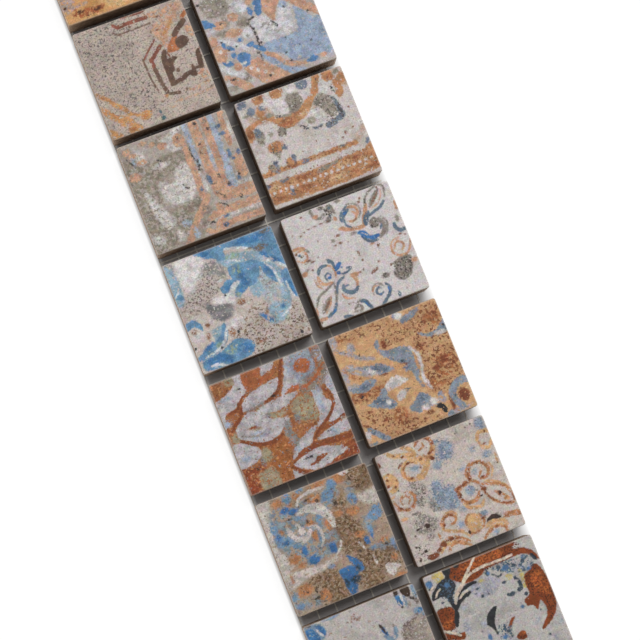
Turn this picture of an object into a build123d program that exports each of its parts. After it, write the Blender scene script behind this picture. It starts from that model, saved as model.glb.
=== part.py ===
# Mosaic border tile: two columns of printed ceramic chips on a thread net.
# Millimetres, +Z up. The strip lies flat with its length along Y, and the
# origin is at the middle of its underside.

import os

from build123d import *

# Chips: pressed ceramic squares
chip_side = 23.0
chip_thickness = 5.0
chip_corner = 0.35  # bevel that stands for the small round of each corner
chip_arris = 0.3  # bevel round the printed face

# Keys: shallow hollows pressed into the back of each chip, so that the mortar holds it
key_length = 17.0
key_width = 2.6
key_depth = 0.4
key_pitch = 7.0
key_count = 3

# Joints, laid by hand and so a little uneven from row to row
column_joint = 2.0
column_slip = 0.2  # the right column sits this much further along the strip
row_joints = (2.0, 2.1, 1.9, 1.6, 2.2, 2.3, 1.9, 2.1, 2.0, 1.9, 2.0)

# Net: flat glass-fibre threads, laid across each other and bonded where they cross
thread_width = 0.3
long_thickness = 0.12  # of the lower layer, the threads that run along the strip
cross_thickness = 0.12  # of the upper layer, the threads that carry the chips
long_pitch = 3.8
cross_pitch = 5.25
net_shift = -1.0  # the net was cut with its middle to the left of the chips' middle
net_margin = 0.15  # from the edge of the chips to the cut edge of the net
end_offset = 2.7  # from the end of the chips to the first cross thread
net_count = 4  # the net is written in this many lengths, which meet end to end

# Places worked out from the sizes above
row_count = len(row_joints) + 1
strip_width = 2 * chip_side + column_joint
strip_length = row_count * chip_side + sum(row_joints) + column_slip
column_x = (chip_side + column_joint) / 2
left_top_y = strip_length / 2 - column_slip
net_thickness = long_thickness + cross_thickness
net_width = strip_width - 2 * net_margin
net_length = strip_length - 2 * net_margin


def row_y(row):
    """Centre of a chip of the left column, with the rows counted from 0."""
    return left_top_y - (row + 0.5) * chip_side - sum(row_joints[:row])


def make_chip(name, x, y):
    """One chip, lying on the net with its printed face up."""
    back = Plane.XY.offset(net_thickness)
    with BuildPart() as chip:
        with BuildSketch(back):
            with Locations((x, y)):
                Rectangle(chip_side, chip_side)
            chamfer(vertices(), chip_corner)
        extrude(amount=chip_thickness)
        chamfer(faces().sort_by(Axis.Z)[-1].edges(), chip_arris)
        with BuildSketch(back):
            with Locations((x, y)):
                with GridLocations(0, key_pitch, 1, key_count):
                    Rectangle(key_length, key_width)
        extrude(amount=key_depth, mode=Mode.SUBTRACT)
    chip.part.label = name
    export_step(chip.part, f"parts/{name}.step")


def make_net(name, low_y, high_y, cross_ys):
    """One length of the net, from low_y to high_y along the strip."""
    half_threads = int((net_width / 2 + net_shift) / long_pitch)
    long_xs = [net_shift + long_pitch * step for step in range(-half_threads, half_threads + 1)]
    with BuildPart() as net:
        with BuildSketch(Plane.XY):
            with Locations(*[(x, (low_y + high_y) / 2) for x in long_xs]):
                Rectangle(thread_width, high_y - low_y)
        extrude(amount=long_thickness)
        with BuildSketch(Plane.XY.offset(long_thickness)):
            with Locations(*[(0, y) for y in cross_ys]):
                Rectangle(net_width, thread_width)
        extrude(amount=cross_thickness)
    net.part.label = name
    export_step(net.part, f"parts/{name}.step")


def make_nets():
    """The net, parted half way between two cross threads into like lengths."""
    top_y = net_length / 2
    first_y = left_top_y - end_offset
    cross_count = int((first_y + top_y) / cross_pitch) + 1
    cross_ys = [first_y - cross_pitch * step for step in range(cross_count)]
    share = cross_count // net_count
    starts = [share * length for length in range(net_count)]
    ends = starts[1:] + [cross_count]
    for number, (start, end) in enumerate(zip(starts, ends), 1):
        high_y = top_y if start == 0 else cross_ys[start] + cross_pitch / 2
        low_y = -top_y if end == cross_count else cross_ys[end] + cross_pitch / 2
        make_net(f"net_length_{number}", low_y, high_y, cross_ys[start:end])


os.makedirs("parts", exist_ok=True)
for row in range(row_count):
    make_chip(f"chip_left_{row + 1:02d}", -column_x, row_y(row))
    make_chip(f"chip_right_{row + 1:02d}", column_x, row_y(row) + column_slip)
make_nets()
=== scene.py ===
# Mosaic border tile: printed ceramic chips, two abreast, on a glass-fibre net
import math
import statistics
import bpy
import bmesh
import numpy as np
from mathutils import Euler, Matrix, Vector


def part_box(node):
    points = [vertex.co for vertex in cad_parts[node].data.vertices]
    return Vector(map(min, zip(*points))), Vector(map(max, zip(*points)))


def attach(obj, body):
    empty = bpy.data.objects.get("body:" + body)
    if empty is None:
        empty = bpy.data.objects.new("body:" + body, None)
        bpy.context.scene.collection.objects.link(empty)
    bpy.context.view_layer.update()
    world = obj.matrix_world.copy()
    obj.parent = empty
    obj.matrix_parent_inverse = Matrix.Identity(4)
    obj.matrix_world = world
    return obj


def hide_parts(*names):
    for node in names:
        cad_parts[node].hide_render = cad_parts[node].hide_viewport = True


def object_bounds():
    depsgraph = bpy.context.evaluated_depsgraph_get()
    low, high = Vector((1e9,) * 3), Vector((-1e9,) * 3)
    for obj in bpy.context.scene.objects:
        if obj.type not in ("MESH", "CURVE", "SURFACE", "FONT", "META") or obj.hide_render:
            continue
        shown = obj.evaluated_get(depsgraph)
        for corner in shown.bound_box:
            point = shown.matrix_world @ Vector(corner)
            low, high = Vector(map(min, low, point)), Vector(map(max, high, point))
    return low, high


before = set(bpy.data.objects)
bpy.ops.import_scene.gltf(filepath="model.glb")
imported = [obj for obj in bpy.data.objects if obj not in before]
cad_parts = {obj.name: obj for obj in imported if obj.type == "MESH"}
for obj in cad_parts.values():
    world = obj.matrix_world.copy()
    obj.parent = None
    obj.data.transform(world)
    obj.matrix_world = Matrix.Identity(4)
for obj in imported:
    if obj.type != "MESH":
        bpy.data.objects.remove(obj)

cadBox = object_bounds()
scene = bpy.context.scene
mm = 0.001  # metres in a millimetre, the unit of every size below


def linear(hexColour):  # sRGB hex to the linear values that a colour socket takes
    channels = [int(hexColour[i:i + 2], 16) / 255 for i in (0, 2, 4)]
    return [c / 12.92 if c <= 0.04045 else ((c + 0.055) / 1.055) ** 2.4 for c in channels] + [1.0]


def addNode(tree, kind, inputs=None, output=None, **settings):
    # a node with its settings, values and links; gives back the node, or one output where that is named
    made = tree.nodes.new(kind)
    for key, value in settings.items():
        setattr(made, key, value)
    for socket, value in (inputs or {}).items():
        if isinstance(value, bpy.types.NodeSocket):
            tree.links.new(value, made.inputs[socket])
        else:
            made.inputs[socket].default_value = value
    return made if output is None else made.outputs[output]


# Print motifs
# A motif is a function of X and Y, in mm from the chip's far left corner with Y towards the near
# edge, that gives the distance to its edge, less than nothing inside it.
brush = {"spread": 0.055, "leafSpread": 0.03,  # how far an ink runs past a stroke and past a leaf, in mm
         "step": 0.3, "areaStep": 0.5,         # how fine a curve is drawn, in mm
         "taper": 0.2, "curlTaper": 0.45,      # the share of a stroke that thins; how much a curl thins
         "middle": 11.5}                       # the middle of a chip, about which its print turns


def smoothPath(points, closed=False, spacing=brush["step"]):  # a round line through given points
    knots = np.array(points, float)
    count = len(knots)
    samples = []
    for i in range(count if closed else count - 1):
        a, b, c, d = [knots[j % count] if closed else knots[min(max(j, 0), count - 1)] for j in range(i - 1, i + 3)]
        steps = max(2, int(np.hypot(*(c - b)) / spacing))
        t = (np.arange(steps) / steps)[:, None]
        bend = 2 * b + (c - a) * t + (2 * a - 5 * b + 4 * c - d) * t ** 2 + (3 * b - a - 3 * c + d) * t ** 3
        samples.append(bend / 2)
    samples.append(knots[:1] if closed else knots[-1:])
    return np.vstack(samples)


def nearest(X, Y, path, halfWidths):  # distance to a path that has a width of its own at each point
    a, b = path[:-1], path[1:]
    span = b - a
    length2 = np.maximum((span ** 2).sum(1), 1e-9)
    px, py = X.ravel()[:, None] - a[:, 0], Y.ravel()[:, None] - a[:, 1]
    t = np.clip((px * span[:, 0] + py * span[:, 1]) / length2, 0, 1)
    gap = np.hypot(px - t * span[:, 0], py - t * span[:, 1])
    gap -= halfWidths[:-1] + t * (halfWidths[1:] - halfWidths[:-1])
    return gap.min(1).reshape(X.shape)


def line(points, width, thin=(0.6, 0.6)):  # a brushed line of this half width, thinner at its ends
    def field(X, Y):
        path = smoothPath(points)
        s = np.linspace(0, 1, len(path))
        ends = [share + (1 - share) * along / brush["taper"] for share, along in zip(thin, (s, 1 - s))]
        return nearest(X, Y, path, width * np.minimum(np.minimum(*ends), 1) + brush["spread"])
    return field


def leaf(points, width):  # a line that swells in the middle and ends in two points
    def field(X, Y):
        path = smoothPath(points)
        swell = np.sin(np.pi * np.linspace(0, 1, len(path))) ** 0.8
        return nearest(X, Y, path, width * swell + brush["leafSpread"])
    return field


def curl(x, y, outer, turns, start, width, inner=0.3):  # a volute that winds in, turns below 0 the other way
    def field(X, Y):
        s = np.linspace(0, 1, int(14 * abs(turns)) + 4)
        angle = math.radians(start) + 2 * math.pi * turns * s
        radius = outer * (1 - (1 - inner) * s)
        path = np.stack([x + radius * np.cos(angle), y + radius * np.sin(angle)], 1)
        return nearest(X, Y, path, width * (1 - brush["curlTaper"] * s) + brush["spread"])
    return field


def area(*points):  # a patch with a round outline
    def field(X, Y):
        path = smoothPath(points, closed=True, spacing=brush["areaStep"])
        gap = nearest(X, Y, path, np.zeros(len(path)))
        inside = np.zeros(X.shape, bool)
        for (ax, ay), (bx, by) in zip(path[:-1], path[1:]):
            crosses = (ay > Y) != (by > Y)
            inside ^= crosses & (X < (bx - ax) * (Y - ay) / (by - ay + 1e-12) + ax)
        return np.where(inside, -gap, gap)
    return field


def dots(*rounds):  # spots: x, y, radius, and a second radius where one is oval
    def field(X, Y):
        best = np.full(X.shape, 9.0)
        for x, y, rx, *rest in rounds:
            ry = rest[0] if rest else rx
            best = np.minimum(best, (np.hypot((X - x) / rx, (Y - y) / ry) - 1) * min(rx, ry))
        return best
    return field


def beads(x0, y0, x1, y1, count, radius):  # a row of like dots
    steps = np.linspace(0, 1, count)
    return dots(*[(x0 + (x1 - x0) * s, y0 + (y1 - y0) * s, radius) for s in steps])


def turned(motifs, angle):  # the same print, turned about the chip's middle
    c, s = math.cos(math.radians(angle)), math.sin(math.radians(angle))
    middle = brush["middle"]

    def placed(motif):
        def field(X, Y):
            u, v = X - middle, Y - middle
            return motif(middle + c * u + s * v, middle - s * u + c * v)
        return field
    return [placed(motif) for motif in motifs]


everywhere = area((-3, -3), (26, -3), (26, 26), (-3, 26))  # the whole chip

# Prints
# Each print has its ground colours, how speckled it is, and its inks in the order they lie. Each
# ink has its colour, the share that has worn off and its motifs.
prints = {}


def ink(colour, worn, motifs, crumb=0.42, soft=0.13, ragged=1.0, rest=0.1):
    # crumb: size of the worn spots, soft: width of the ink's edge, both in mm
    # ragged: how much that edge wanders, rest: the share of ink left in a worn spot
    return dict(colour=colour, worn=worn, motifs=motifs, crumb=crumb, soft=soft, ragged=ragged, rest=rest)


def flecks(colour, share, size, *where):  # sparse specks of an ink
    return ink(colour, 1 - share, where or [everywhere], size, 0.4, rest=0.0)


prints["octagon"] = dict(ground=("bbaca1", "ac9e94", "c6b7aa"), speck=0.8, inks=[
    ink("857a72", 0.8, [area((0, 0), (10, -1), (23, 0), (23.6, 12), (23, 23), (12, 23.6), (0, 23), (-0.6, 12))],
        0.36, 0.4),
    ink("6c635e", 0.86, [area((0, 0), (10, 0), (11, 12), (11, 22), (4, 16), (0, 13))], 0.55, 0.5),
    ink("c09a80", 0.4, [
        area((15.2, 4.2), (19, 2.6), (21.6, 0.9), (22.8, 1.4), (21.4, 3.2), (19, 5.4), (17.2, 7.8), (16, 7.4))],
        0.6, 0.5),
    ink("bd9277", 0.45, [line([(15.2, 1.4), (18, 1.8), (21.6, 1.2)], 0.7), line([(15.8, 4.6), (16, 6.2)], 0.5),
        area((21.6, 6.2), (22.9, 5.8), (23, 8.2), (21.9, 8.2)),
        line([(17.4, 18.4), (19.6, 18.7), (22.4, 18.1)], 0.28), line([(21, 17), (22.8, 16.6)], 0.5),
        line([(14.4, 19.9), (18, 20), (22.6, 19.8)], 0.13), line([(20.2, 15.9), (22.6, 15.8)], 0.42),
        line([(13, 20.6), (14.2, 20.6)], 0.18), dots((19.8, 3.4, 0.6, 0.5), (16.2, 4.9, 0.3, 0.2)),
        line([(17.6, 5.5), (16.6, 7.4), (17.2, 9)], 0.6), line([(20, 3.3), (20.8, 2.3), (21.4, 1.4)], 0.28)],
        0.6, 0.3, 0.35),
    ink("b9885a", 0.22, [line([(0.2, 13.2), (2, 15), (3, 16.4), (4.4, 17.7), (5.2, 19.2), (7, 20)], 0.42),
        line([(0, 16.2), (1, 17.4), (2.2, 18.9), (4.2, 20), (5.2, 21.4)], 0.62),
        area((6.7, 20.2), (8, 19.4), (9.4, 20), (8.6, 21.2), (7.2, 21.2)),
        area((3.8, 22.9), (4.1, 21.2), (5.6, 21.2), (6.6, 22.4), (6, 23.2)),
        area((0, 20.7), (1.4, 21.6), (2.4, 22.8), (0, 23)), line([(2.2, 18.8), (3.4, 20.9)], 0.45),
        line([(17, 6.2), (18.6, 5), (19.6, 3.7)], 0.26), dots((13.3, 18.1, 0.45, 0.4))], 0.55, 0.3, 0.35),
    ink("a36642", 0.12, [area((17, 8.8), (18, 7.7), (19.2, 7.4), (19.3, 9.9), (17.2, 10.2), (16.5, 9.8)),
        line([(21.6, 4.2), (22.4, 3.6), (23.2, 3)], 0.4), line([(18.7, 6.9), (19.2, 7.6)], 0.4),
        line([(12.8, 10.5), (13.4, 10)], 0.3), line([(1.2, 14.6), (1, 14)], 0.12),
        dots((7.9, 20.5, 0.5, 0.3), (4.8, 22.2, 0.5, 0.3))], 0.5, 0.2, 0.35),
    ink("855243", 0.1, [line([(10.3, 0.1), (15, 0.3)], 0.26), line([(8.2, 0.9), (8.9, 1.7), (9.4, 1.9)], 0.28),
        line([(9.3, 1.7), (12, 1.6), (15, 1.7)], 0.36, (1, 1)), line([(15, 6.6), (13.2, 8.2), (11.4, 10)], 0.15),
        line([(15.6, 8.2), (14.4, 9.2), (13, 10.4)], 0.36, (1, 0.8)), line([(12.9, 10.3), (13, 13)], 0.36, (1, 1)),
        line([(15.1, 10.8), (15, 15)], 0.2), line([(22.6, 11.4), (23, 11)], 0.2),
        line([(16.4, 10), (16.7, 10.9)], 0.16), line([(16, 4.9), (16.6, 4.8)], 0.14)], 0.5, 0.12, 0.35),
    ink("6f584b", 0.1, [line([(7.7, 2.3), (8.4, 3.1), (9.4, 3.3)], 0.14),
        line([(9.4, 3.2), (15.4, 3.1)], 0.13, (1, 1)),
        line([(11.4, 9.9), (11.5, 13), (11.7, 15), (12, 17)], 0.16, (1, 0.7)),
        line([(13, 12.4), (13.2, 15), (13.6, 17.5)], 0.38, (1, 0.9)), line([(14, 18), (15.9, 18.4)], 0.3, (0.8, 1)),
        dots((17.5, 18.2, 0.22, 0.4), (20.5, 10.8, 0.3, 0.12), (17.2, 14, 0.42, 0.45), (18.8, 12.2, 0.5, 0.12),
            (17.2, 2.3, 0.35, 0.2), (11.3, 2.4, 0.4, 0.3), (12, 19, 0.3, 0.2), (22.3, 19.4, 0.35, 0.2),
            (15, 19.8, 0.3, 0.12), (21.6, 18, 0.4, 0.2)), line([(14.8, 4.7), (14.9, 5)], 0.12)], 0.5, 0.13, 0.35),
    ink("634c40", 0.04, [line([(16, 9.6), (15.5, 10.6), (15.4, 12), (15.4, 16.2)], 0.56, (0.8, 1)),
        area((15.4, 11.6), (17, 11), (18.1, 11.5), (16.9, 12.4), (16.6, 13.9), (15.4, 14)),
        line([(15.2, 16.3), (17.4, 16), (18.6, 15.4), (20, 15.3)], 0.42, (1, 1)),
        line([(19.4, 15.8), (20.2, 16), (20.2, 14)], 0.3),
        line([(22.3, 11.6), (22.1, 13), (21.9, 14.8)], 0.5, (0.7, 1)), line([(20.7, 14.8), (22.2, 14.9)], 0.3),
        area((18.8, 8), (20.8, 7.6), (21.5, 8.9), (20.4, 9.9), (18.9, 9.9)),
        line([(19, 7), (20.2, 6), (21.8, 4.9)], 0.52, (0.8, 1))], 0.5, 0.14, 0.35),
    ink("6d6662", 0.5, [dots((1.8, 4.8, 0.4, 0.4), (2.7, 2.5, 0.25), (4.8, 3.6, 0.35, 0.3), (5.8, 4.3, 0.3),
            (7.2, 2.6, 0.4, 0.25), (0.2, 6.4, 0.35, 0.2), (4.8, 6.4, 0.25), (6.6, 17.7, 0.35, 0.3),
            (5, 11, 0.3, 0.15), (1, 20.3, 0.5, 0.3), (6.6, 1, 0.3, 0.4), (7.2, 12.4, 0.2), (3.9, 6.1, 0.2, 0.15),
            (2, 5.9, 0.2, 0.12), (13.2, 4.8, 0.25, 0.12), (6.8, 16.2, 0.7, 1.0), (9, 8.9, 0.6, 0.3),
            (4.9, 14.9, 0.35, 0.2), (8.4, 0.2, 0.3), (10, 5.7, 0.2), (1.4, 14.4, 0.2), (12.3, 7.3, 0.15),
            (4, 8.8, 0.3, 0.15))], 0.35, 0.16, 0.35),
    ink("4f6b70", 0.1, [area((10.5, 22.5), (11.1, 21.5), (11.7, 22.4)), dots((10.9, 20.8, 0.3, 0.4))],
        0.5, 0.15, 0.35),
])

prints["stripes"] = dict(ground=("a59a91", "91867a", "b3a9a3"), speck=0.8, inks=[
    ink("857c6e", 0.45, [area((0, 5), (6, 5), (12, 4.6), (12.6, 8), (6, 9), (5, 12), (4.6, 22), (0, 23)),
        area((6, 15.6), (11, 14.6), (12.6, 16), (10, 20), (6.4, 21)),
        dots((3.6, 21, 2, 1.6), (8, 1.4, 2.2, 0.9), (1.6, 4, 1.6, 1.0))], 0.8, 0.6),
    ink("c5bfbb", 0.24, [area((5.4, 9.4), (8, 10.6), (9.6, 8), (11.8, 7.6), (12.2, 12), (10.6, 14.8), (8.5, 15),
            (6.2, 14.2), (5.2, 11.6)), area((2, 10.5), (3.4, 12), (4.6, 15), (6, 17.6), (4, 19), (2.6, 16)),
        area((8.8, 1.6), (10.6, 1), (13, -0.3), (13.2, 0.9), (11, 2.4), (12, 4.6), (9.8, 4.2)),
        dots((3.8, 3.6, 1.0, 1.5), (7, 6.4, 1.5, 0.6), (5.8, 21, 0.7, 1.1), (22, 4, 0.8, 2.0), (21.5, 15.2, 1.6, 0.5),
            (18, 20.4, 3.5, 0.35)), line([(16.9, 5), (17, 10)], 0.35), line([(13.6, 10.4), (14, 14)], 0.55),
        line([(0.6, 19.6), (2, 20.6)], 0.8)], 0.6, 0.4),
    ink("bb9279", 0.14, [dots((1.6, 1.6, 0.9, 0.6), (2.4, 2.7, 0.9, 0.5), (3.7, 4.5, 1.0, 0.6), (1.4, 6.9, 1.2, 0.9),
            (8.6, 2.8, 1.0, 0.8), (12.1, 2.8, 1.2, 1.3), (5, 0.9, 0.8, 0.5), (6.9, 1.8, 0.6)),
        line([(12.9, 4), (12.8, 8), (12.8, 12), (12.6, 15)], 0.6, (0.6, 1)),
        line([(15.9, -0.5), (15.9, 6), (15.7, 11.4)], 0.85, (1, 0.8)),
        line([(18.2, -0.5), (18.2, 6), (18, 11.4)], 0.75, (1, 0.8)),
        area((15.4, 11.4), (18, 12), (19, 15), (23.4, 15.6), (23.4, 17.8), (17, 17.4), (15, 15.6)),
        line([(23.4, 19.2), (15, 19.2), (12.4, 19.8)], 0.75, (1, 0.7)),
        line([(23.4, 22), (17, 21.8), (13, 22.6), (11, 21.8)], 0.6, (1, 0.6)),
        line([(13.4, 15.4), (11.6, 17.4), (9.4, 19.6), (6.6, 23.4)], 0.62, (1, 1)),
        line([(21.8, 9.8), (21.8, 13.6)], 1.0), line([(22, -0.5), (21.6, 2), (21.4, 7)], 0.55),
        line([(14.8, 17.8), (15, 20), (13, 22.6)], 0.8)], 0.5, 0.2),
    ink("9ba5b3", 0.16, [line([(14.1, -0.5), (14.1, 5), (14.2, 8.6)], 0.5, (1, 0.8)),
        line([(19.5, -0.5), (19.5, 7), (19.4, 15)], 0.58, (1, 1)), line([(19, 10.6), (18.8, 14)], 0.4),
        dots((7.8, 19, 1.0, 0.7), (8.9, 21.6, 0.6, 1.1), (17, 8, 0.4, 2.0), (2.2, 4, 0.4, 0.9))], 0.6, 0.2),
    ink("7d6e64", 0.4, [
        dots((12.2, 17.8, 0.8, 1.0), (18.2, 1.1, 0.6, 0.4), (11.2, 20.3, 0.8, 0.4), (9.6, 16.4, 1.6, 0.8))],
        0.5, 0.4),
    ink("5c6f88", 0.1, [dots((20.5, 2.9, 0.55, 0.35), (20.7, 4.5, 0.6, 0.4), (20.6, 8.8, 0.45, 0.9),
            (22.4, 9, 0.5, 0.6), (15.1, 12.3, 0.5, 1.1), (20.6, 14, 0.45, 0.5), (18.4, 14.7, 0.4, 0.5),
            (12.8, 13.7, 0.35, 0.5), (15.7, 20.3, 0.6, 0.4), (15, 22, 0.7, 0.5), (21, 10, 0.35))], 0.4, 0.2),
    ink("4b4643", 0.15, [dots((16.2, 0.8, 0.4, 0.35), (18.4, 2.6, 0.35, 0.5), (12.1, 2.2, 0.3), (15.6, 5, 0.3, 0.2),
            (12.5, 20.7, 0.6, 0.35), (19.7, 17.6, 0.35, 0.5), (21, 13.3, 0.35, 0.3), (15.5, 13.5, 0.3, 0.2),
            (21, 21.9, 0.3, 0.2), (18.3, 14.4, 0.3, 0.35), (14.7, 22.2, 0.3)),
        line([(13.6, 4.2), (13.6, 7), (14.2, 8.6), (13.8, 9.8), (14.4, 10)], 0.14),
        line([(15.4, 15.2), (16.2, 16), (16.9, 17)], 0.13), line([(15.2, 17.4), (15.9, 17.8), (16.6, 18.7)], 0.13),
        line([(15.3, 6.2), (15.6, 7.1)], 0.13), line([(16.8, 11.8), (17.2, 12.7)], 0.15),
        line([(6.6, 5), (7.6, 5.6)], 0.12), line([(9.8, 11.4), (10, 12.2), (10.6, 12.6)], 0.14),
        line([(1, 3), (1.8, 4.2), (2.3, 5)], 0.14)]),
])

prints["blueClouds"] = dict(ground=("c0b4ad", "b0a39b", "c9c0bb"), speck=0.6, inks=[
    ink("cbc6c5", 0.06, [area((2.4, 0.3), (6.8, 0.3), (8, 2.4), (7, 4.5), (5, 5.5), (4, 7.4), (2.4, 6), (2, 3)),
        area((6.8, 9.4), (9, 9.9), (12, 9.2), (11, 11.4), (9, 11.6), (7, 10.8)),
        dots((1.5, 15.6, 1.2, 0.8), (9.5, 15.6, 2.0, 0.9))], soft=0.5),
    ink("86705f", 0.78, [area((8, 19), (11, 15), (16, 13.6), (23, 16.5), (23, 23), (9, 23)),
        dots((12, 12.4, 0.9), (14, 12.3, 0.8, 0.6))], 0.5, 0.9),
    ink("7a6f6a", 0.7, [area((0.5, 8), (4, 7), (6, 4.6), (8, 3), (10, 6), (8, 9), (5, 11), (1, 11.4))], 0.45, 0.8),
    ink("5b4c43", 0.86, [area((9, 17), (13, 15.5), (20, 15), (23, 18), (23, 23), (10, 23)),
        area((2, 9), (6, 6), (9, 8), (6, 10))], 0.5, 0.8),
    ink("8f8b89", 0.3, [dots((8.8, 3.9, 1.9, 1.5), (10.4, 5, 1.0, 1.6), (1, 1, 0.9, 1.2)),
        area((17.4, 6), (19, 8), (19.6, 12), (18.4, 13.4), (16.6, 11), (16, 8))], 0.5, 0.5),
    ink("a7b0b5", 0.35, [area((15.4, 9.4), (17.6, 7.4), (19.8, 10), (20.2, 13.6), (18, 15.4), (16.4, 13))], 0.6, 0.7),
    ink("7b797a", 0.14, [
        area((5.2, 9.8), (6.6, 10.8), (9.4, 11.6), (10.3, 12.6), (9.4, 14.2), (7.4, 14.5), (5.4, 13.2))], 0.4, 0.35),
    ink("8ba4b3", 0.16, [line([(0.4, 1.5), (0.7, 4.5), (0.6, 8.2)], 1.2, (0.7, 0.7)),
        area((10.4, 2.6), (13, 2.4), (17, 3.2), (19.6, 4.4), (18, 6.4), (12.6, 5.4), (11, 4)),
        line([(19.8, 6.6), (21, 9.6), (21.1, 12.4), (20.2, 15.6), (18, 17.8), (16.4, 17.8)], 0.85, (0.5, 0.6)),
        dots((18, 15.9, 1.7, 1.2)), area((4.6, 15.6), (7.2, 15), (6.8, 17.6), (4.8, 18.6), (4.4, 17)),
        area((14.6, 9), (16.4, 8), (17, 11.6), (15, 12.4))], 0.6, 0.35),
    ink("6389a8", 0.05, [area((7.2, -0.3), (8.6, 1.6), (9.8, 2.3), (11.4, 3.4), (12.6, 3.2), (12.3, 1.5), (14.4, 1.7),
            (17, 2.6), (18.4, 3.6), (19.4, 5.2), (21.4, 6.6), (22.4, 8.4), (23.5, 9), (23.5, -0.5)),
        area((12, 4.8), (15, 4.9), (18, 5.6), (17.4, 8), (16, 9.6), (13.6, 10.2), (12.2, 11.2), (11.3, 10.5),
            (12.2, 8.9), (11.8, 7)), area((9.2, 8.2), (10.8, 7.2), (12.2, 7.5), (11.6, 8.6), (10, 9.8), (9.2, 9.2)),
        leaf([(18, 5.8), (19.2, 8.2), (20.3, 11)], 0.95),
        area((21.3, 9.6), (22.2, 9), (23.4, 10), (23.4, 15.2), (22.2, 14.8), (21.4, 12.4)),
        leaf([(-1, 14), (1.6, 12.9), (3.1, 14.7)], 0.75),
        leaf([(7.1, 14.8), (6.4, 17.4), (3.4, 19.2), (-0.6, 20)], 0.95),
        area((0.8, 20.6), (4, 20.2), (8, 18.7), (10.4, 19.4), (11.5, 21), (10, 22.6), (6, 23), (1, 22.6)),
        line([(0.3, 6.6), (1.3, 7.4)], 0.6)], 0.7, 0.18),
    ink("4474a0", 0.3, [line([(8, 0.4), (9.5, 1.7)], 0.6), line([(15, 0.6), (18, 1.3), (20.6, 1.2)], 0.75),
        line([(19.2, 4.6), (22.2, 7.6)], 0.5), line([(13.6, 6), (14.2, 8.6), (12.6, 10.4)], 0.6),
        line([(10, 9), (11.4, 8)], 0.4), line([(1.4, 21.2), (5, 21.2), (6, 22.4)], 0.7),
        dots((9.4, 20.8, 1.5, 0.9), (19.4, 15.9, 0.5), (10.6, 21.4, 0.6), (21.9, 4.2, 0.8, 0.5)),
        line([(14.8, 15.9), (16.6, 17.9)], 0.35), line([(22.3, 11.8), (22.6, 14.6)], 0.4),
        line([(2, 18.8), (4.4, 17.8)], 0.5), line([(18.8, 7.2), (19.8, 9.4)], 0.35)], 1.0, 0.3),
    ink("8a9d8e", 0.45, [dots((13.6, 3.2, 1.8, 0.7), (5.2, 18.8, 1.0, 0.6), (6.8, 20.2, 1.1, 0.9), (11.9, 10.8, 0.7),
            (13.4, 6, 0.8, 1.2), (18.5, 18.3, 1.0, 0.3))], 0.8, 0.5),
    ink("6f655a", 0.35, [dots((19.4, 3.4, 1.2, 0.7), (17.3, 2.9, 0.6, 0.3), (21.6, 0.5, 1.2, 0.5))], 0.5, 0.3),
    ink("c3c6c7", 0.12, [line([(12.6, 1.3), (14.6, 1.7), (17, 2.6)], 0.17),
        line([(12.2, 3.8), (13.4, 3.9), (14.7, 4.6)], 0.14), line([(10.8, 10), (11.6, 8.9), (12.8, 8.3)], 0.45),
        line([(19, 6.6), (20.2, 8.6), (20.6, 12)], 0.16), line([(21.2, 7.2), (22.8, 8.8)], 0.2),
        line([(21.7, 11.5), (21.8, 13.4), (22.3, 15)], 0.13),
        line([(7.4, 16), (6.2, 18.2), (4.6, 19.4), (2, 20)], 0.2), line([(2, 22), (3.4, 22.1), (5, 22.9)], 0.22),
        dots((9.6, 6.8, 0.7, 0.25), (19.9, 6.4, 0.4, 0.3)), line([(18.6, 17.7), (20.8, 16.6)], 0.13),
        line([(0.2, 6.9), (1.2, 6.1)], 0.15)], 0.42, 0.15, 0.5),
    ink("8a6148", 0.3, [dots((12, 12.2, 0.8, 0.6), (4.2, 14.2, 0.5), (8.2, 17.2, 0.6, 0.9), (1.2, 14.6, 0.5),
            (12.6, 20.6, 0.7, 0.5), (16, 15.8, 0.4), (3.6, 16.4, 0.4, 0.8))], 0.5, 0.3),
    ink("3d3a3a", 0.1, [dots((9.4, 17.5, 0.35), (9.6, 9.8, 0.25), (0.2, 17.8, 0.3), (21, 22, 0.4),
            (13, 19.2, 0.35, 0.2), (6.1, 10.8, 0.3, 0.2), (5.2, 19.3, 0.25))]),
])

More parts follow.
